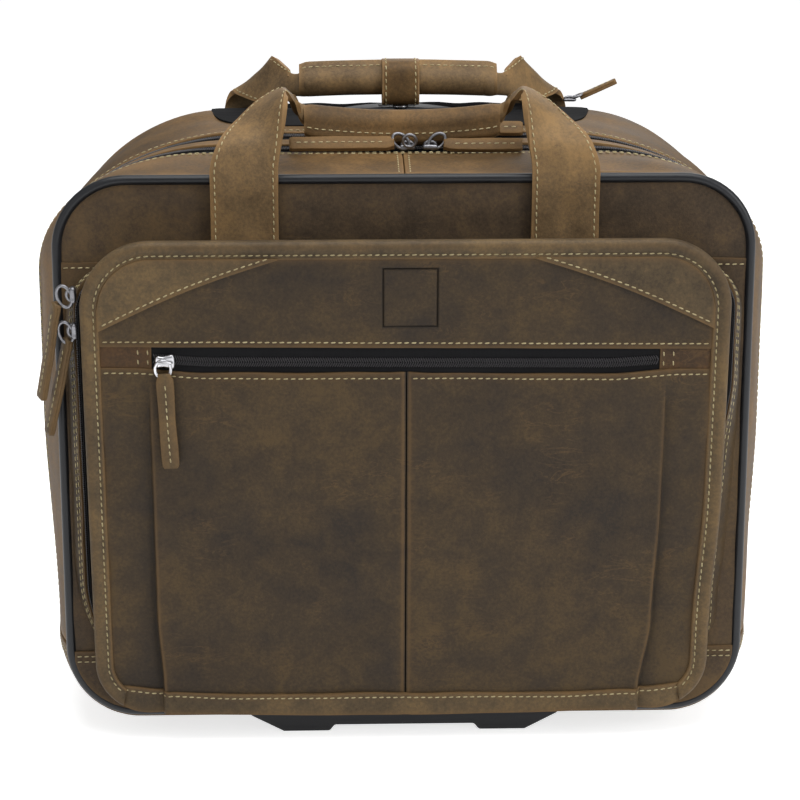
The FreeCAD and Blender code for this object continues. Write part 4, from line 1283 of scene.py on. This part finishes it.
class CASE_OT_handles(Maker):
    """Both carry handles and the wrap between them"""
    bl_idname = "case.handles"
    bl_label = "Carry handles"

    def make(self, sizes):
        """Each handle has two straps that roll up into a leather grip sewn over a stuffed core."""
        w = np.unique(np.concatenate([np.linspace(-0.5, 0.5, 27), [-0.48, -0.44, 0.44, 0.48]]))
        table = (("front", FRONT_STRAP, "front_section", "front_handle", (0, -4.5, 352), (0, -4.5, 366)),
                 ("rear", REAR_STRAP, "case", "rear_handle", (0, 207, 354), (0, 207, 368)))
        for name, knots, base, body, start, end in table:
            form, thread = Form(), Form()
            for side in (1.0, -1.0):
                strap = Strap(knots, side, 150)
                rows = strap.surface(w)
                rows = rows + strap.out[:, None] * ripple(rows, 30.0, 0.4, 31)[..., None]
                form.grid(rows, away=("way", FORWARD if name == "front" else (0.0, 0.6, 0.5)),
                          wear=edge_wear(rows, 2.4))
                for share in (-0.43, 0.43):
                    stitch(thread, *strap.line(share, 42.0 if name == "front" else 14.0, strap.reach - 2))
            piece = form.piece(f"{name}_handle_strap", ["strap", "middle"], 3.2, 1.1, inner=1)
            sewn = thread.piece(f"{name}_handle_stitches", ["thread"])
            for made, slot in ((piece, "leather"), (sewn, "thread")):
                place(start)
                place(end)
                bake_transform(made)
            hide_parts(f"{name}_handle_straps", f"{name}_strap_anchors")

        # half length, y, z at the middle, rise towards the ends, half depth, half height, way of the sewn edge
        for name, half, y, z, rise, deep, high, seam in (
                ("front", 60.0, 62.0, 376.8, 4.2, 7.2, 8.6, (-0.5, -0.87)),
                ("rear", 64.0, 150.0, 391.8, -1.4, 9.2, 9.0, (0.35, 0.94))):
            x = crowded(-half, half, 60, 2.0)
            angle = np.linspace(-1.0, 1.0, 41) * math.radians(166.0)
            tip = ease((np.abs(angle) - math.radians(128.0)) / math.radians(30.0)) * 4.6
            down, side = np.array(seam), np.array((-seam[1], seam[0]))
            lean = (np.sin(angle)[:, None] * side * (deep if name == "front" else high)
                    - np.cos(angle)[:, None] * down * high + tip[:, None] * down)
            swell = 1.0 - 0.10 * np.exp(-((half - np.abs(x)) / 3.0) ** 2)
            rows = np.stack([np.broadcast_to(x[:, None], (len(x), 41)), y + swell[:, None] * lean[:, 0],
                             z + rise * (x[:, None] / half) ** 2 + swell[:, None] * lean[:, 1]], -1)
            rows[..., 1] += ripple(rows, 34.0, 0.5, 33)
            form = Form().grid(rows, away=(0.0, y, z), wear=edge_wear(rows, 2.0))
            hide = "strap" if name == "rear" else "upper"
            settle(form.piece(f"{name}_grip_leather", [hide, "middle"], 2.0, 0.8, inner=1), f"{name}_handle",
                   "leather")
            thread = Form()
            for k in (3, 37):
                keep = np.abs(rows[:, k, 0]) < half - 1.0
                line = rows[keep, k]
                out = rows[keep, k] - rows[keep, 20 + (6 if k == 3 else -6)]
                flat = unit(out * (0, 1, 1))
                way = np.stack([flat[:, 0], flat[:, 2], -flat[:, 1]], 1)
                away = line - (rows[keep, 3] + rows[keep, 37]) / 2
                stitch(thread, line, way * np.sign(np.sum(way * away, 1, keepdims=True)), 0.15)
            settle(thread.piece(f"{name}_grip_stitches", ["thread"]), f"{name}_handle", "thread")

        core = padded_core(57.0, 62.0, lambda x: 376.8 + 4.2 * (x / 60.0) ** 2, 4.2, 5.6)
        core = core.piece("front_handle_core", ["dark"], smooth=1)
        settle(core, "front_handle", "leather", "front_handle_grip")
        core = padded_core(61.0, 150.0, lambda x: 391.8 - 1.4 * (x / 64.0) ** 2, 6.4, 6.4)
        core = core.piece("rear_handle_core", ["dark"], smooth=1)
        settle(core, "rear_handle", "leather", "rear_handle_grip")

        turn = np.linspace(0, 2 * math.pi, 72, endpoint=False)
        ring_y = 150.0 + 13.2 * np.sign(np.cos(turn)) * np.abs(np.cos(turn)) ** 0.62
        ring_z = 391.0 + 14.6 * np.sign(np.sin(turn)) * np.abs(np.sin(turn)) ** 0.62
        x = crowded(-10.5, 13.5, 9, 1.8)
        rows = np.stack([np.broadcast_to(x[:, None], (len(x), 72)), np.broadcast_to(ring_y, (len(x), 72)),
                         np.broadcast_to(ring_z, (len(x), 72))], -1)
        form = Form().grid(rows, around=True, wear=np.exp(-np.minimum(x + 10.5, 13.5 - x) / 2.2)[:, None])
        settle(form.piece("handle_wrap_leather", ["upper", "middle"], 3.0, 1.0, inner=1), "handle_wrap", "leather",
               "handle_wrap")
        thread = Form()
        for at in (-8.0, 11.0):
            line = np.stack([np.full(73, at), np.append(ring_y, ring_y[0]), np.append(ring_z, ring_z[0])], 1)
            stitch(thread, line, unit(line - (at, 150.0, 391.0)))
        settle(thread.piece("handle_wrap_stitches", ["thread"]), "handle_wrap", "thread")
        r = np.array([0.0, 2.2, 3.6, 4.6, 5.2, 5.4, 5.2, 3.0, 0.0])
        z = np.array([372.9, 373.0, 373.3, 373.9, 374.6, 375.3, 376.2, 376.3, 376.3])
        form = spun(Form(), r, z, 36)
        form.points[-1] = form.points[-1] + (1.5, 150.0, 0.0)
        settle(form.piece("wrap_snap_cap", ["chrome"]), "handle_wrap", "chrome", "wrap_snap")


def spun(form, radius, height, count, finish=0, wear=0.0):
    """A profile of radius over height turned round the Z axis; ends at radius 0 close it."""
    turn = np.linspace(0, 2 * math.pi, count, endpoint=False)
    body = radius > 1e-6
    r, h = radius[body], height[body]
    rows = np.stack([r[:, None] * np.cos(turn), r[:, None] * np.sin(turn),
                     np.broadcast_to(h[:, None], (len(r), count))], -1)
    return form.grid(rows, around=True, capped=True, finish=finish, wear=wear)


# ---- sliders, rings and pulls ---------------------------------------------------------------------
def zip_slider(form, centre, along, up, long=10.0, wide=8.0, high=3.6, finish=0):
    """A cast slider: a plate that is waisted in the middle and rounded all round, with a bridge over it."""
    along, up = unit(np.asarray(along, float)), unit(np.asarray(up, float))
    side = np.cross(up, along)
    t = np.linspace(-0.5, 0.5, 17)
    half = wide / 2 * (0.74 + 0.30 * np.abs(2 * t + 0.25) ** 1.3) * np.sqrt(np.clip(1 - np.abs(2 * t) ** 8, 0.12, 1))
    turn = np.linspace(0, 2 * math.pi, 20, endpoint=False)
    ring_a = np.sign(np.cos(turn)) * np.abs(np.cos(turn)) ** 0.5
    ring_b = np.sign(np.sin(turn)) * np.abs(np.sin(turn)) ** 0.7
    rise = high / 2 * np.sqrt(np.clip(1 - np.abs(2 * t) ** 6, 0.1, 1))
    rows = (np.asarray(centre, float) + (t * long)[:, None, None] * along
            + half[:, None, None] * ring_a[None, :, None] * side + rise[:, None, None] * ring_b[None, :, None] * up)
    form.grid(rows, around=True, capped=True, finish=finish)
    a = np.linspace(0, math.pi, 16)
    bridge = (np.asarray(centre, float) + (np.cos(a) * long * 0.34)[:, None] * along
              + (high * 0.35 + np.sin(a) * high * 0.62)[:, None] * up)
    return hose(form, bridge, 0.95, sides=10, up=side, finish=finish)


def link(form, centre, first, second, half_first, half_second, wire=0.9, finish=0):
    """An oval ring of wire spanned by two directions."""
    first, second = unit(np.asarray(first, float)), unit(np.asarray(second, float))
    turn = np.linspace(0, 2 * math.pi, 40, endpoint=False)
    line = (np.asarray(centre, float) + (np.cos(turn) * half_first)[:, None] * first
            + (np.sin(turn) * half_second)[:, None] * second)
    return hose(form, line, wire, closed=True, sides=10, up=np.cross(first, second), finish=finish)


# a doubled strip seen from its end: shares of the width and of the thickness, with a slot between layers
PULL_PROFILE = np.array([(-0.46, 0.5), (-0.5, 0.4), (-0.5, 0.12), (-0.47, 0.03), (-0.47, -0.03), (-0.5, -0.12),
                         (-0.5, -0.4), (-0.46, -0.5), (0.0, -0.52), (0.46, -0.5), (0.5, -0.4), (0.5, -0.12),
                         (0.47, -0.03), (0.47, 0.03), (0.5, 0.12), (0.5, 0.4), (0.46, 0.5), (0.0, 0.52)])


def leather_pull(name, body, node, path, up, wide, thick, finish="middle"):
    """A doubled leather tab along a path, with a stitch row down its middle; the profile is carried along
    and pinched at the ring end."""
    path = np.asarray(path, float)
    walked = lengths(path)
    line = flowing(np.linspace(0, walked[-1], 40), walked, path)
    ahead = unit(np.gradient(line, axis=0))
    up = unit(np.asarray(up, float) - ahead * (ahead @ np.asarray(up, float))[:, None])
    side = np.cross(ahead, up)
    at = np.linspace(0, walked[-1], 40)
    pinch = 0.72 + 0.28 * ease(at / 5.0)
    swell = 1.0 + 0.03 * np.sin(at / 6.0 + len(name))
    round_end = np.sqrt(np.clip(1 - (np.clip(at - walked[-1] + 2.0, 0, 2.0) / 2.0) ** 2 * 0.35, 0, 1))
    breadth = (wide * pinch * swell * round_end)[:, None, None]
    rows = (line[:, None] + breadth * PULL_PROFILE[None, :, :1] * side[:, None]
            + (thick * (1.15 - 0.15 * ease(at / 6.0)))[:, None, None] * PULL_PROFILE[None, :, 1:] * up[:, None])
    wear = (np.abs(PULL_PROFILE[:, 0]) > 0.44) * 0.75 + 0.12
    form = Form().grid(rows, around=True, capped=True, wear=np.broadcast_to(wear, rows.shape[:2]))
    settle(form.piece(name, [finish]), body, "leather", node)
    thread = Form()
    keep = (at > 6.0) & (at < walked[-1] - 2.5)
    for sign in (1.0, -1.0):
        stitch(thread, (line + up * thick * 0.5 * sign)[keep], (up * sign)[keep], 0.1)
    settle(thread.piece(name + "_stitches", ["thread"]), body, "thread")


class CASE_OT_pulls(Maker):
    """Every zip's slider, ring and leather pull"""
    bl_idname = "case.pulls"
    bl_label = "Sliders and pulls"

    def make(self, sizes):
        """Cast sliders with wire rings, and doubled leather tabs hanging or lying from them."""
        def slider(name, body, form, finish="gunmetal", slot="gunmetal"):
            settle(form.piece(name + "_cast", [finish]), body, slot, name)

        face = FLAP_FACE + 1.0
        form = zip_slider(Form(), (-142.0, face - 2.2, 252.6), (1, 0, 0), FORWARD, 11.5, 9.0, 3.6)
        link(form, (-143.2, face - 4.3, 248.4), (1, 0, 0), UP, 4.6, 5.4, 1.0)
        form.points = [flapped(p) for p in form.points]
        slider("pocket_slider", "pocket_slider", form, "chrome", "chrome")
        path = flapped(np.array([(-142.5, face - 5.0, 246.0), (-142.0, face - 5.9, 236.0),
                                 (-141.2, face - 6.6, 212.0), (-140.0, face - 6.2, 187.0)]))
        leather_pull("pocket_pull_leather", "pocket_pull", "pocket_pull", path, FORWARD, 10.0, 3.2)

        for name, z, top_x, low_x in (("upper", 290.0, -206.0, -217.0), ("lower", 268.0, -200.0, -213.5)):
            y = BAND_Y - 3.6 - math.tan(math.radians(BAND_TILT)) * (z - HINGE_Z)
            form = zip_slider(Form(), (-195.2, y, z), (0, -0.066, 1), (-1, 0, 0), 10.0, 6.6, 3.8)
            link(form, (-200.2, y - 0.4, z - 1.0), (0.9, -0.1, 0.25), (-0.3, 0.0, 1.0), 4.2, 6.6, 1.0)
            slider("organizer_slider_" + name, "organizer_slider_" + name, form)
            path = [(top_x + 1.0, y + 0.4, z - 5.4), (top_x, y + 1, z - 9),
                    (top_x * 0.6 + low_x * 0.4, y + 4.4, z - 32), (low_x, y + 9.5, z - 65)]
            leather_pull(f"organizer_pull_{name}_leather", "organizer_pull_" + name, "organizer_pull_" + name,
                         path, (-1.0, -0.55, 0.0), 9.0, 3.4)

        for name, x, side in (("left", 3.0, -1.0), ("right", 17.0, 1.0)):
            form = zip_slider(Form(), (x, 51.5, 364.0), (1, 0, 0), UP, 10.0, 7.5, 3.4)
            link(form, (x + side * 4.0, 50.4, 367.6), (side, 0, 0.35), (0, 0.25, 1), 5.4, 4.4, 1.0)
            if name == "left":
                link(form, (4.2, 46.0, 368.6), (1, 0, 0), (0, -0.25, 1), 4.0, 4.0, 0.95)
            slider("top_slider_" + name, "top_slider_" + name, form)
        leather_pull("top_pull_left_leather", "top_pull_left", "top_pull_left",
                     [(-5.0, 49.6, 366.6), (-12, 49.8, 366.4), (-38, 49.4, 366.4), (-69, 48.0, 366.4)],
                     TURNED, 9.2, 3.6,
                     finish="upper")
        leather_pull("top_pull_right_leather", "top_pull_right", "top_pull_right",
                     [(25.0, 48.8, 365.8), (34, 48.6, 365.4), (52, 48.4, 365.4), (73, 48.4, 365.4)], TURNED, 8.6, 3.4,
                     finish="upper")
        form = zip_slider(Form(), (24.5, 83.6, 368.2), (1, 0, 0), UP, 10.0, 7.5, 3.4)
        link(form, (29.0, 83.0, 371.0), (1, 0, 0.2), (0, 0.3, 1), 4.6, 4.0, 0.95)
        slider("rear_zip_slider", "rear_zip_slider", form)
        leather_pull("rear_zip_pull_leather", "rear_zip_pull", "rear_zip_pull",
                     [(32.0, 82, 370.6), (40, 82, 370.4), (58, 82.6, 370.4), (76, 83.0, 370.2)], TURNED, 9.2, 3.6,
                     finish="upper")
        form = zip_slider(Form(), (116.5, 199.2, 372.0), (1, 0, 0), UP, 9.0, 5.6, 2.2)
        link(form, (121.5, 199.9, 374.4), (1, 0, 0.4), (0, 1, 0), 4.2, 3.0, 0.85)
        slider("garage_slider", "garage_slider", form)
        leather_pull("garage_pull_leather", "garage_pull", "garage_pull",
                     [(123.5, 200.3, 373.8), (131, 200.3, 377.0), (139, 200.3, 380.6), (147.5, 200.3, 384.4)],
                     (-0.35, 0.0, 1.0), 7.0, 3.2, finish="upper")


def body_top(x, y):
    """Height of the body's skin over a point of the plan, from that section's upper edge."""
    shapes = flowing(np.ravel(y), BODY_SECTIONS[:, 0], BODY_SECTIONS[:, 1:])
    half, high, _, across, down = (shapes[:, k].reshape(np.shape(y)) for k in range(5))
    over = np.clip((np.abs(x) - (half - across)) / across, 0.0, 1.0)
    return high - down + down * np.sqrt(1.0 - over * over)


# ---- telescopic handle and running gear -----------------------------------------------------------
def softened(node, name, finish, body, slot, width=1.0, segments=3):
    """A copy of a moulded solid with its edges rounded."""
    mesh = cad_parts[node].data.copy()
    mesh.name = name
    mesh.materials.clear()
    mesh.materials.append(FINISHES[finish])
    made = bpy.data.objects.new(name, mesh)
    bpy.context.scene.collection.objects.link(made)
    welded = made.modifiers.new("weld", "WELD")
    welded.merge_threshold = 0.01 * MM
    bpy.context.view_layer.update()
    flat = bpy.data.meshes.new_from_object(made.evaluated_get(bpy.context.evaluated_depsgraph_get()))
    made.modifiers.clear()
    made.data = flat
    flat.polygons.foreach_set("use_smooth", np.ones(len(flat.polygons), bool))
    joined = made.modifiers.new("flats", "DECIMATE")
    joined.decimate_type, joined.angle_limit = "DISSOLVE", math.radians(1.0)
    rim = made.modifiers.new("rim", "BEVEL")
    rim.width, rim.segments, rim.limit_method = width * MM, segments, "ANGLE"
    rim.angle_limit = math.radians(40)
    return settle(made, body, slot, node)


def dress(node, finish):
    """A solid whose shape is right takes a finish."""
    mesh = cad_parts[node].data
    mesh.materials.clear()
    mesh.materials.append(FINISHES[finish])


class CASE_OT_trolley(Maker):
    """The telescopic handle, its base, collar, grip and button, and the cloth garage round it"""
    bl_idname = "case.trolley"
    bl_label = "Telescopic handle"

    def make(self, sizes):
        """Moulded parts get rounded edges; the garage is a cloth band ruled between a D."""
        for node in ("outer_tubes", "middle_tubes", "inner_tubes"):
            dress(node, "alloy")
        softened("tube_base", "tube_base_moulding", "plastic", "case", "plastic_black", 1.2)
        softened("tube_collar", "tube_collar_moulding", "plastic", "case", "plastic_black", 0.8)
        softened("trolley_grip", "trolley_grip_moulding", "plastic", "trolley_inner", "plastic_black", 2.2, 4)
        softened("release_button", "release_button_moulding", "plastic", "release_button", "plastic_black", 1.2)

        turn = np.linspace(0, 2 * math.pi, 200, endpoint=False)
        c, s = np.cos(turn), np.sin(turn)
        outer = np.stack([4.0 + 123.5 * np.sign(c) * np.abs(c) ** 0.62,
                          np.where(s < 0, 186.0 + 20.0 * np.sign(s) * np.abs(s) ** 0.8,
                                   186.0 + 15.5 * np.sign(s) * np.abs(s) ** 0.35), np.full(200, 366.6)], 1)
        inner = np.stack([74.0 * np.sign(c) * np.abs(c) ** 0.3, 186.0 + 11.8 * np.sign(s) * np.abs(s) ** 0.3,
                          np.full(200, 369.6)], 1)
        share = crowded(0.0, 1.0, 8, 0.12)[:, None, None]
        rows = outer * (1 - share) + inner * share
        rows[..., 2] = 366.8 + 3.6 * np.sin(np.clip(share[..., 0], 0, 1) * math.pi) ** 0.6 - 10.0 * np.clip(
            (np.abs(rows[..., 0] - 4.0) - 80) / 60, 0, 1) ** 2
        rows[..., 2] += ripple(rows, 24.0, 0.5, 41)
        form = Form().grid(rows, around=True, away=("way", UP))
        settle(form.piece("handle_garage_cloth", ["nylon"], 2.4, 0.6), "case", "nylon_black", "handle_garage")
        x = np.linspace(-122.0, 126.0, 90)
        corner = np.clip((np.abs(x - 2.0) - 88.0) / 37.0, 0.0, 1.0)
        front = 113.0 + 72.0 * (1.0 - np.sqrt(1.0 - corner ** 2))
        share = crowded(0.0, 1.0, 16, 0.06)[:, None]
        y = front + (196.0 - front) * share
        wide = np.broadcast_to(x, y.shape)
        form = Form().grid(np.stack([wide, y, body_top(wide, y) + 0.9], -1), away=("way", UP),
                           keep=clear_of_tubes)
        settle(form.piece("garage_patch_cloth", ["nylon"], 1.0, 0.3), "case", "nylon_black")


class CASE_OT_running_gear(Maker):
    """Wheels, axles, housings and the front stand"""
    bl_idname = "case.running_gear"
    bl_label = "Running gear"

    def make(self, sizes):
        """Wheels are profiles turned round the axle, with spokes raised by angle."""
        softened("wheel_housings", "wheel_housing_mouldings", "plastic", "case", "plastic_black", 1.0)
        softened("front_stand", "front_stand_moulding", "plastic", "case", "plastic_black", 1.4)
        dress("wheel_axles", "steel")
        dress("axle_bushes", "plastic")
        tyre_x = np.array([-12, -12, -11.6, -10.2, -6, -5.4, -4.6, -4.0, 0, 4.0, 4.6, 5.4, 6, 10.2, 11.6, 12, 12])
        tyre_r = np.array([20, 24.4, 25.8, 26.7, 27, 26.2, 26.2, 27, 27, 27, 26.2, 26.2, 27, 26.7, 25.8, 24.4, 20])
        for word, x0 in (("left", -WHEEL_X), ("right", WHEEL_X)):
            turn = np.linspace(0, 2 * math.pi, 96, endpoint=False)

            def ring(radius, across):
                radius = np.broadcast_to(radius, turn.shape)
                return np.stack([np.broadcast_to(x0 + across, turn.shape), 186.0 + radius * np.cos(turn),
                                 27.0 + radius * np.sin(turn)], -1)

            rows = np.array([ring(r, x) for x, r in zip(tyre_x, tyre_r)])
            form = Form().grid(rows, around=True, closed=True, away=(x0, 186.0, 27.0))
            settle(form.piece(f"wheel_tyre_{word}_rubber", ["rubber"]), "wheel_" + word, "tyre", "wheel_tyre_" + word)
            spoke = ease((np.cos(turn * 5) + 0.25) / 0.4)
            rows = []
            for r, deep in ((6.2, 0.0), (9.0, 0.0), (10.0, 1.0), (13.6, 1.0), (16.8, 1.0), (17.8, 0.0), (19.9, 0.0)):
                rows.append(ring(r, -11.0 + 5.0 * deep * (1 - spoke)))
            rows += [ring(19.9, 11.0)]
            for r, deep in ((17.8, 0.0), (16.8, 1.0), (13.6, 1.0), (10.0, 1.0), (9.0, 0.0), (6.2, 0.0)):
                rows.append(ring(r, 11.0 - 5.0 * deep * (1 - spoke)))
            form = Form().grid(np.array(rows), around=True, closed=True, away=(x0, 186.0, 27.0))
            settle(form.piece(f"wheel_hub_{word}_moulding", ["plastic"]), "wheel_" + word, "plastic_black",
                   "wheel_hub_" + word)


class CASE_OT_inside(Maker):
    """The divider, the padded laptop sleeve and the floor board"""
    bl_idname = "case.inside"
    bl_label = "Inside"

    def make(self, sizes):
        """Standing sheets and an open padded box in lining cloth."""
        half, high, *bends = flowing([73.0], BODY_SECTIONS[:, 0], BODY_SECTIONS[:, 1:])[0]
        shape = shrunk((half, BODY_LOW, high, *bends), 4.4)
        x = -shape[0] * np.cos(np.linspace(0, math.pi, 70))
        form = Form()
        for y, way in ((71.7, FORWARD), (74.3, BACKWARD)):
            rows = standing(x, np.maximum(edges_low(shape, x), TRAY_TOP + 0.8), edges_high(shape, x),
                            lambda px, pz: px * 0 + y, 24, 3.0)
            form.grid(waisted(rows), away=("way", way))
        settle(form.piece("divider_panel_cloth", ["lining"], 1.2, 0.4), "divider_section", "lining", "divider_panel")

        turn = np.linspace(0, 2 * math.pi, 160, endpoint=False)
        c, s = np.cos(turn), np.sin(turn)
        z = crowded(HOUSING_TOP + 0.4, 270.0, 22, 3.0)
        puff = np.sin((z - HOUSING_TOP) / 210.6 * math.pi)[:, None] ** 0.5
        ring_x = 185.0 * np.sign(c) * np.abs(c) ** 0.12
        ring_y = 160.0 + (10.4 + 1.4 * puff * np.abs(np.sin(c * 14.0))) * np.sign(s) * np.abs(s) ** 0.25
        rows = np.stack([np.broadcast_to(ring_x, (len(z), 160)), ring_y,
                         np.broadcast_to(z[:, None], (len(z), 160))], -1)
        form = Form().grid(rows, around=True, away=(0.0, 160.0, 165.0))
        sleeve = form.piece("laptop_sleeve_cloth", ["nylon", "lining"], 2.6, 0.8, inner=1)
        settle(sleeve, "case", "nylon_black", "laptop_sleeve")
        softened("base_board", "base_board_covered", "board", "case", "board", 0.5)


class CASE_OT_stage(Maker):
    """Floor, light and camera"""
    bl_idname = "case.stage"
    bl_label = "Stage"

    def make(self, sizes):
        """A pale floor under a white room, a broad lamp above and weaker ones in front and at the sides."""
        scene = bpy.context.scene
        scene.view_settings.view_transform = "Standard"
        mesh = bpy.data.meshes.new("floor")
        far = 8.0
        mesh.from_pydata([(-far, -far, 0), (far, -far, 0), (far, far, 0), (-far, far, 0)], [], [(0, 1, 2, 3)])
        floor = bpy.data.objects.new("floor", mesh)
        scene.collection.objects.link(floor)
        pale = Finish("floor_paper", Base_Color=(0.8, 0.8, 0.8, 1.0), Roughness=0.8, Specular_IOR_Level=0.2)
        rays = pale.node("ShaderNodeLightPath", {}, {}, "Is Camera Ray")
        glossy = pale.node("ShaderNodeLightPath", {}, {}, "Is Glossy Ray")
        pale.set(Emission_Color=pale.mix((rays + glossy).clamped(), (0, 0, 0, 1), (0.72, 0.72, 0.72, 1)),
                 Emission_Strength=1.0)
        mesh.materials.append(pale.material)

        world = bpy.data.worlds.new("room")
        scene.world = world
        world.use_nodes = True
        tree = world.node_tree
        room = tree.nodes["Background"]
        shown = tree.nodes.new("ShaderNodeBackground")
        blend = tree.nodes.new("ShaderNodeMixShader")
        path = tree.nodes.new("ShaderNodeLightPath")
        either = tree.nodes.new("ShaderNodeMath")
        either.operation, either.use_clamp = "ADD", True
        room.inputs["Color"].default_value = (1, 1, 1, 1)
        room.inputs["Strength"].default_value = 0.34
        shown.inputs["Strength"].default_value = 1.0
        shown.inputs["Color"].default_value = (1, 1, 1, 1)
        tree.links.new(path.outputs["Is Camera Ray"], either.inputs[0])
        tree.links.new(path.outputs["Is Transmission Ray"], either.inputs[1])
        tree.links.new(either.outputs[0], blend.inputs[0])
        tree.links.new(room.outputs[0], blend.inputs[1])
        tree.links.new(shown.outputs[0], blend.inputs[2])
        tree.links.new(blend.outputs[0], tree.nodes["World Output"].inputs[0])

        for name, at, target, size, power in (("above", (0.1, -0.35, 1.7), (0, 0, 0.25), 1.5, 25.0),
                                              ("left", (-1.7, -1.3, 0.9), (0, 0, 0.2), 1.2, 4.0),
                                              ("right", (1.7, -1.2, 1.0), (0, 0, 0.2), 1.2, 17.0),
                                              ("behind", (0.3, 1.6, 1.1), (0, 0, 0.3), 1.2, 7.0)):
            lamp = bpy.data.lights.new(name, "AREA")
            lamp.size, lamp.energy = size, power
            holder = bpy.data.objects.new(name, lamp)
            scene.collection.objects.link(holder)
            holder.location = at
            way = np.array(target) - np.array(at)
            flat = math.hypot(way[0], way[1])
            holder.rotation_euler = (math.atan2(flat, -way[2]), 0.0, math.atan2(-way[0], way[1]))

        lens = bpy.data.cameras.new("camera")
        lens.lens, lens.sensor_width = CAMERA_LENS, 36.0
        camera = bpy.data.objects.new("camera", lens)
        camera.location = place(CAMERA_AT)
        camera.rotation_euler = [math.radians(a) for a in CAMERA_TURN]
        scene.collection.objects.link(camera)
        scene.camera = camera


MAKERS = (CASE_OT_body, CASE_OT_zips, CASE_OT_front_face, CASE_OT_organizer, CASE_OT_flap, CASE_OT_handles,
          CASE_OT_pulls, CASE_OT_trolley, CASE_OT_running_gear, CASE_OT_inside, CASE_OT_stage)


class CASE_PT_panel(bpy.types.Panel):
    """Lists the case's values and its makers"""
    bl_idname = "CASE_PT_panel"
    bl_label = "Rolling laptop case"
    bl_space_type = "VIEW_3D"
    bl_region_type = "UI"
    bl_category = "Case"

    def draw(self, context):
        """Values first, then one button per group."""
        for group in (context.scene.case_sizes, context.scene.case_colours):
            for name in group.bl_rna.properties.keys():
                if name not in ("rna_type", "name"):
                    self.layout.prop(group, name)
        for maker in MAKERS:
            self.layout.operator(maker.bl_idname)


CLASSES = (CaseSizes, CaseColours, *MAKERS, CASE_PT_panel)


def register():
    """Adds the classes and their values on the scene."""
    for kind in CLASSES:
        bpy.utils.register_class(kind)
    bpy.types.Scene.case_sizes = bpy.props.PointerProperty(type=CaseSizes)
    bpy.types.Scene.case_colours = bpy.props.PointerProperty(type=CaseColours)


def unregister():
    """Takes the classes and their values away."""
    del bpy.types.Scene.case_colours
    del bpy.types.Scene.case_sizes
    for kind in reversed(CLASSES):
        bpy.utils.unregister_class(kind)


def main():
    """Registers the add-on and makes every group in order."""
    register()
    mix_finishes()
    for maker in MAKERS:
        group, name = maker.bl_idname.split(".")
        getattr(getattr(bpy.ops, group), name)()


if __name__ == "__main__":
    main()
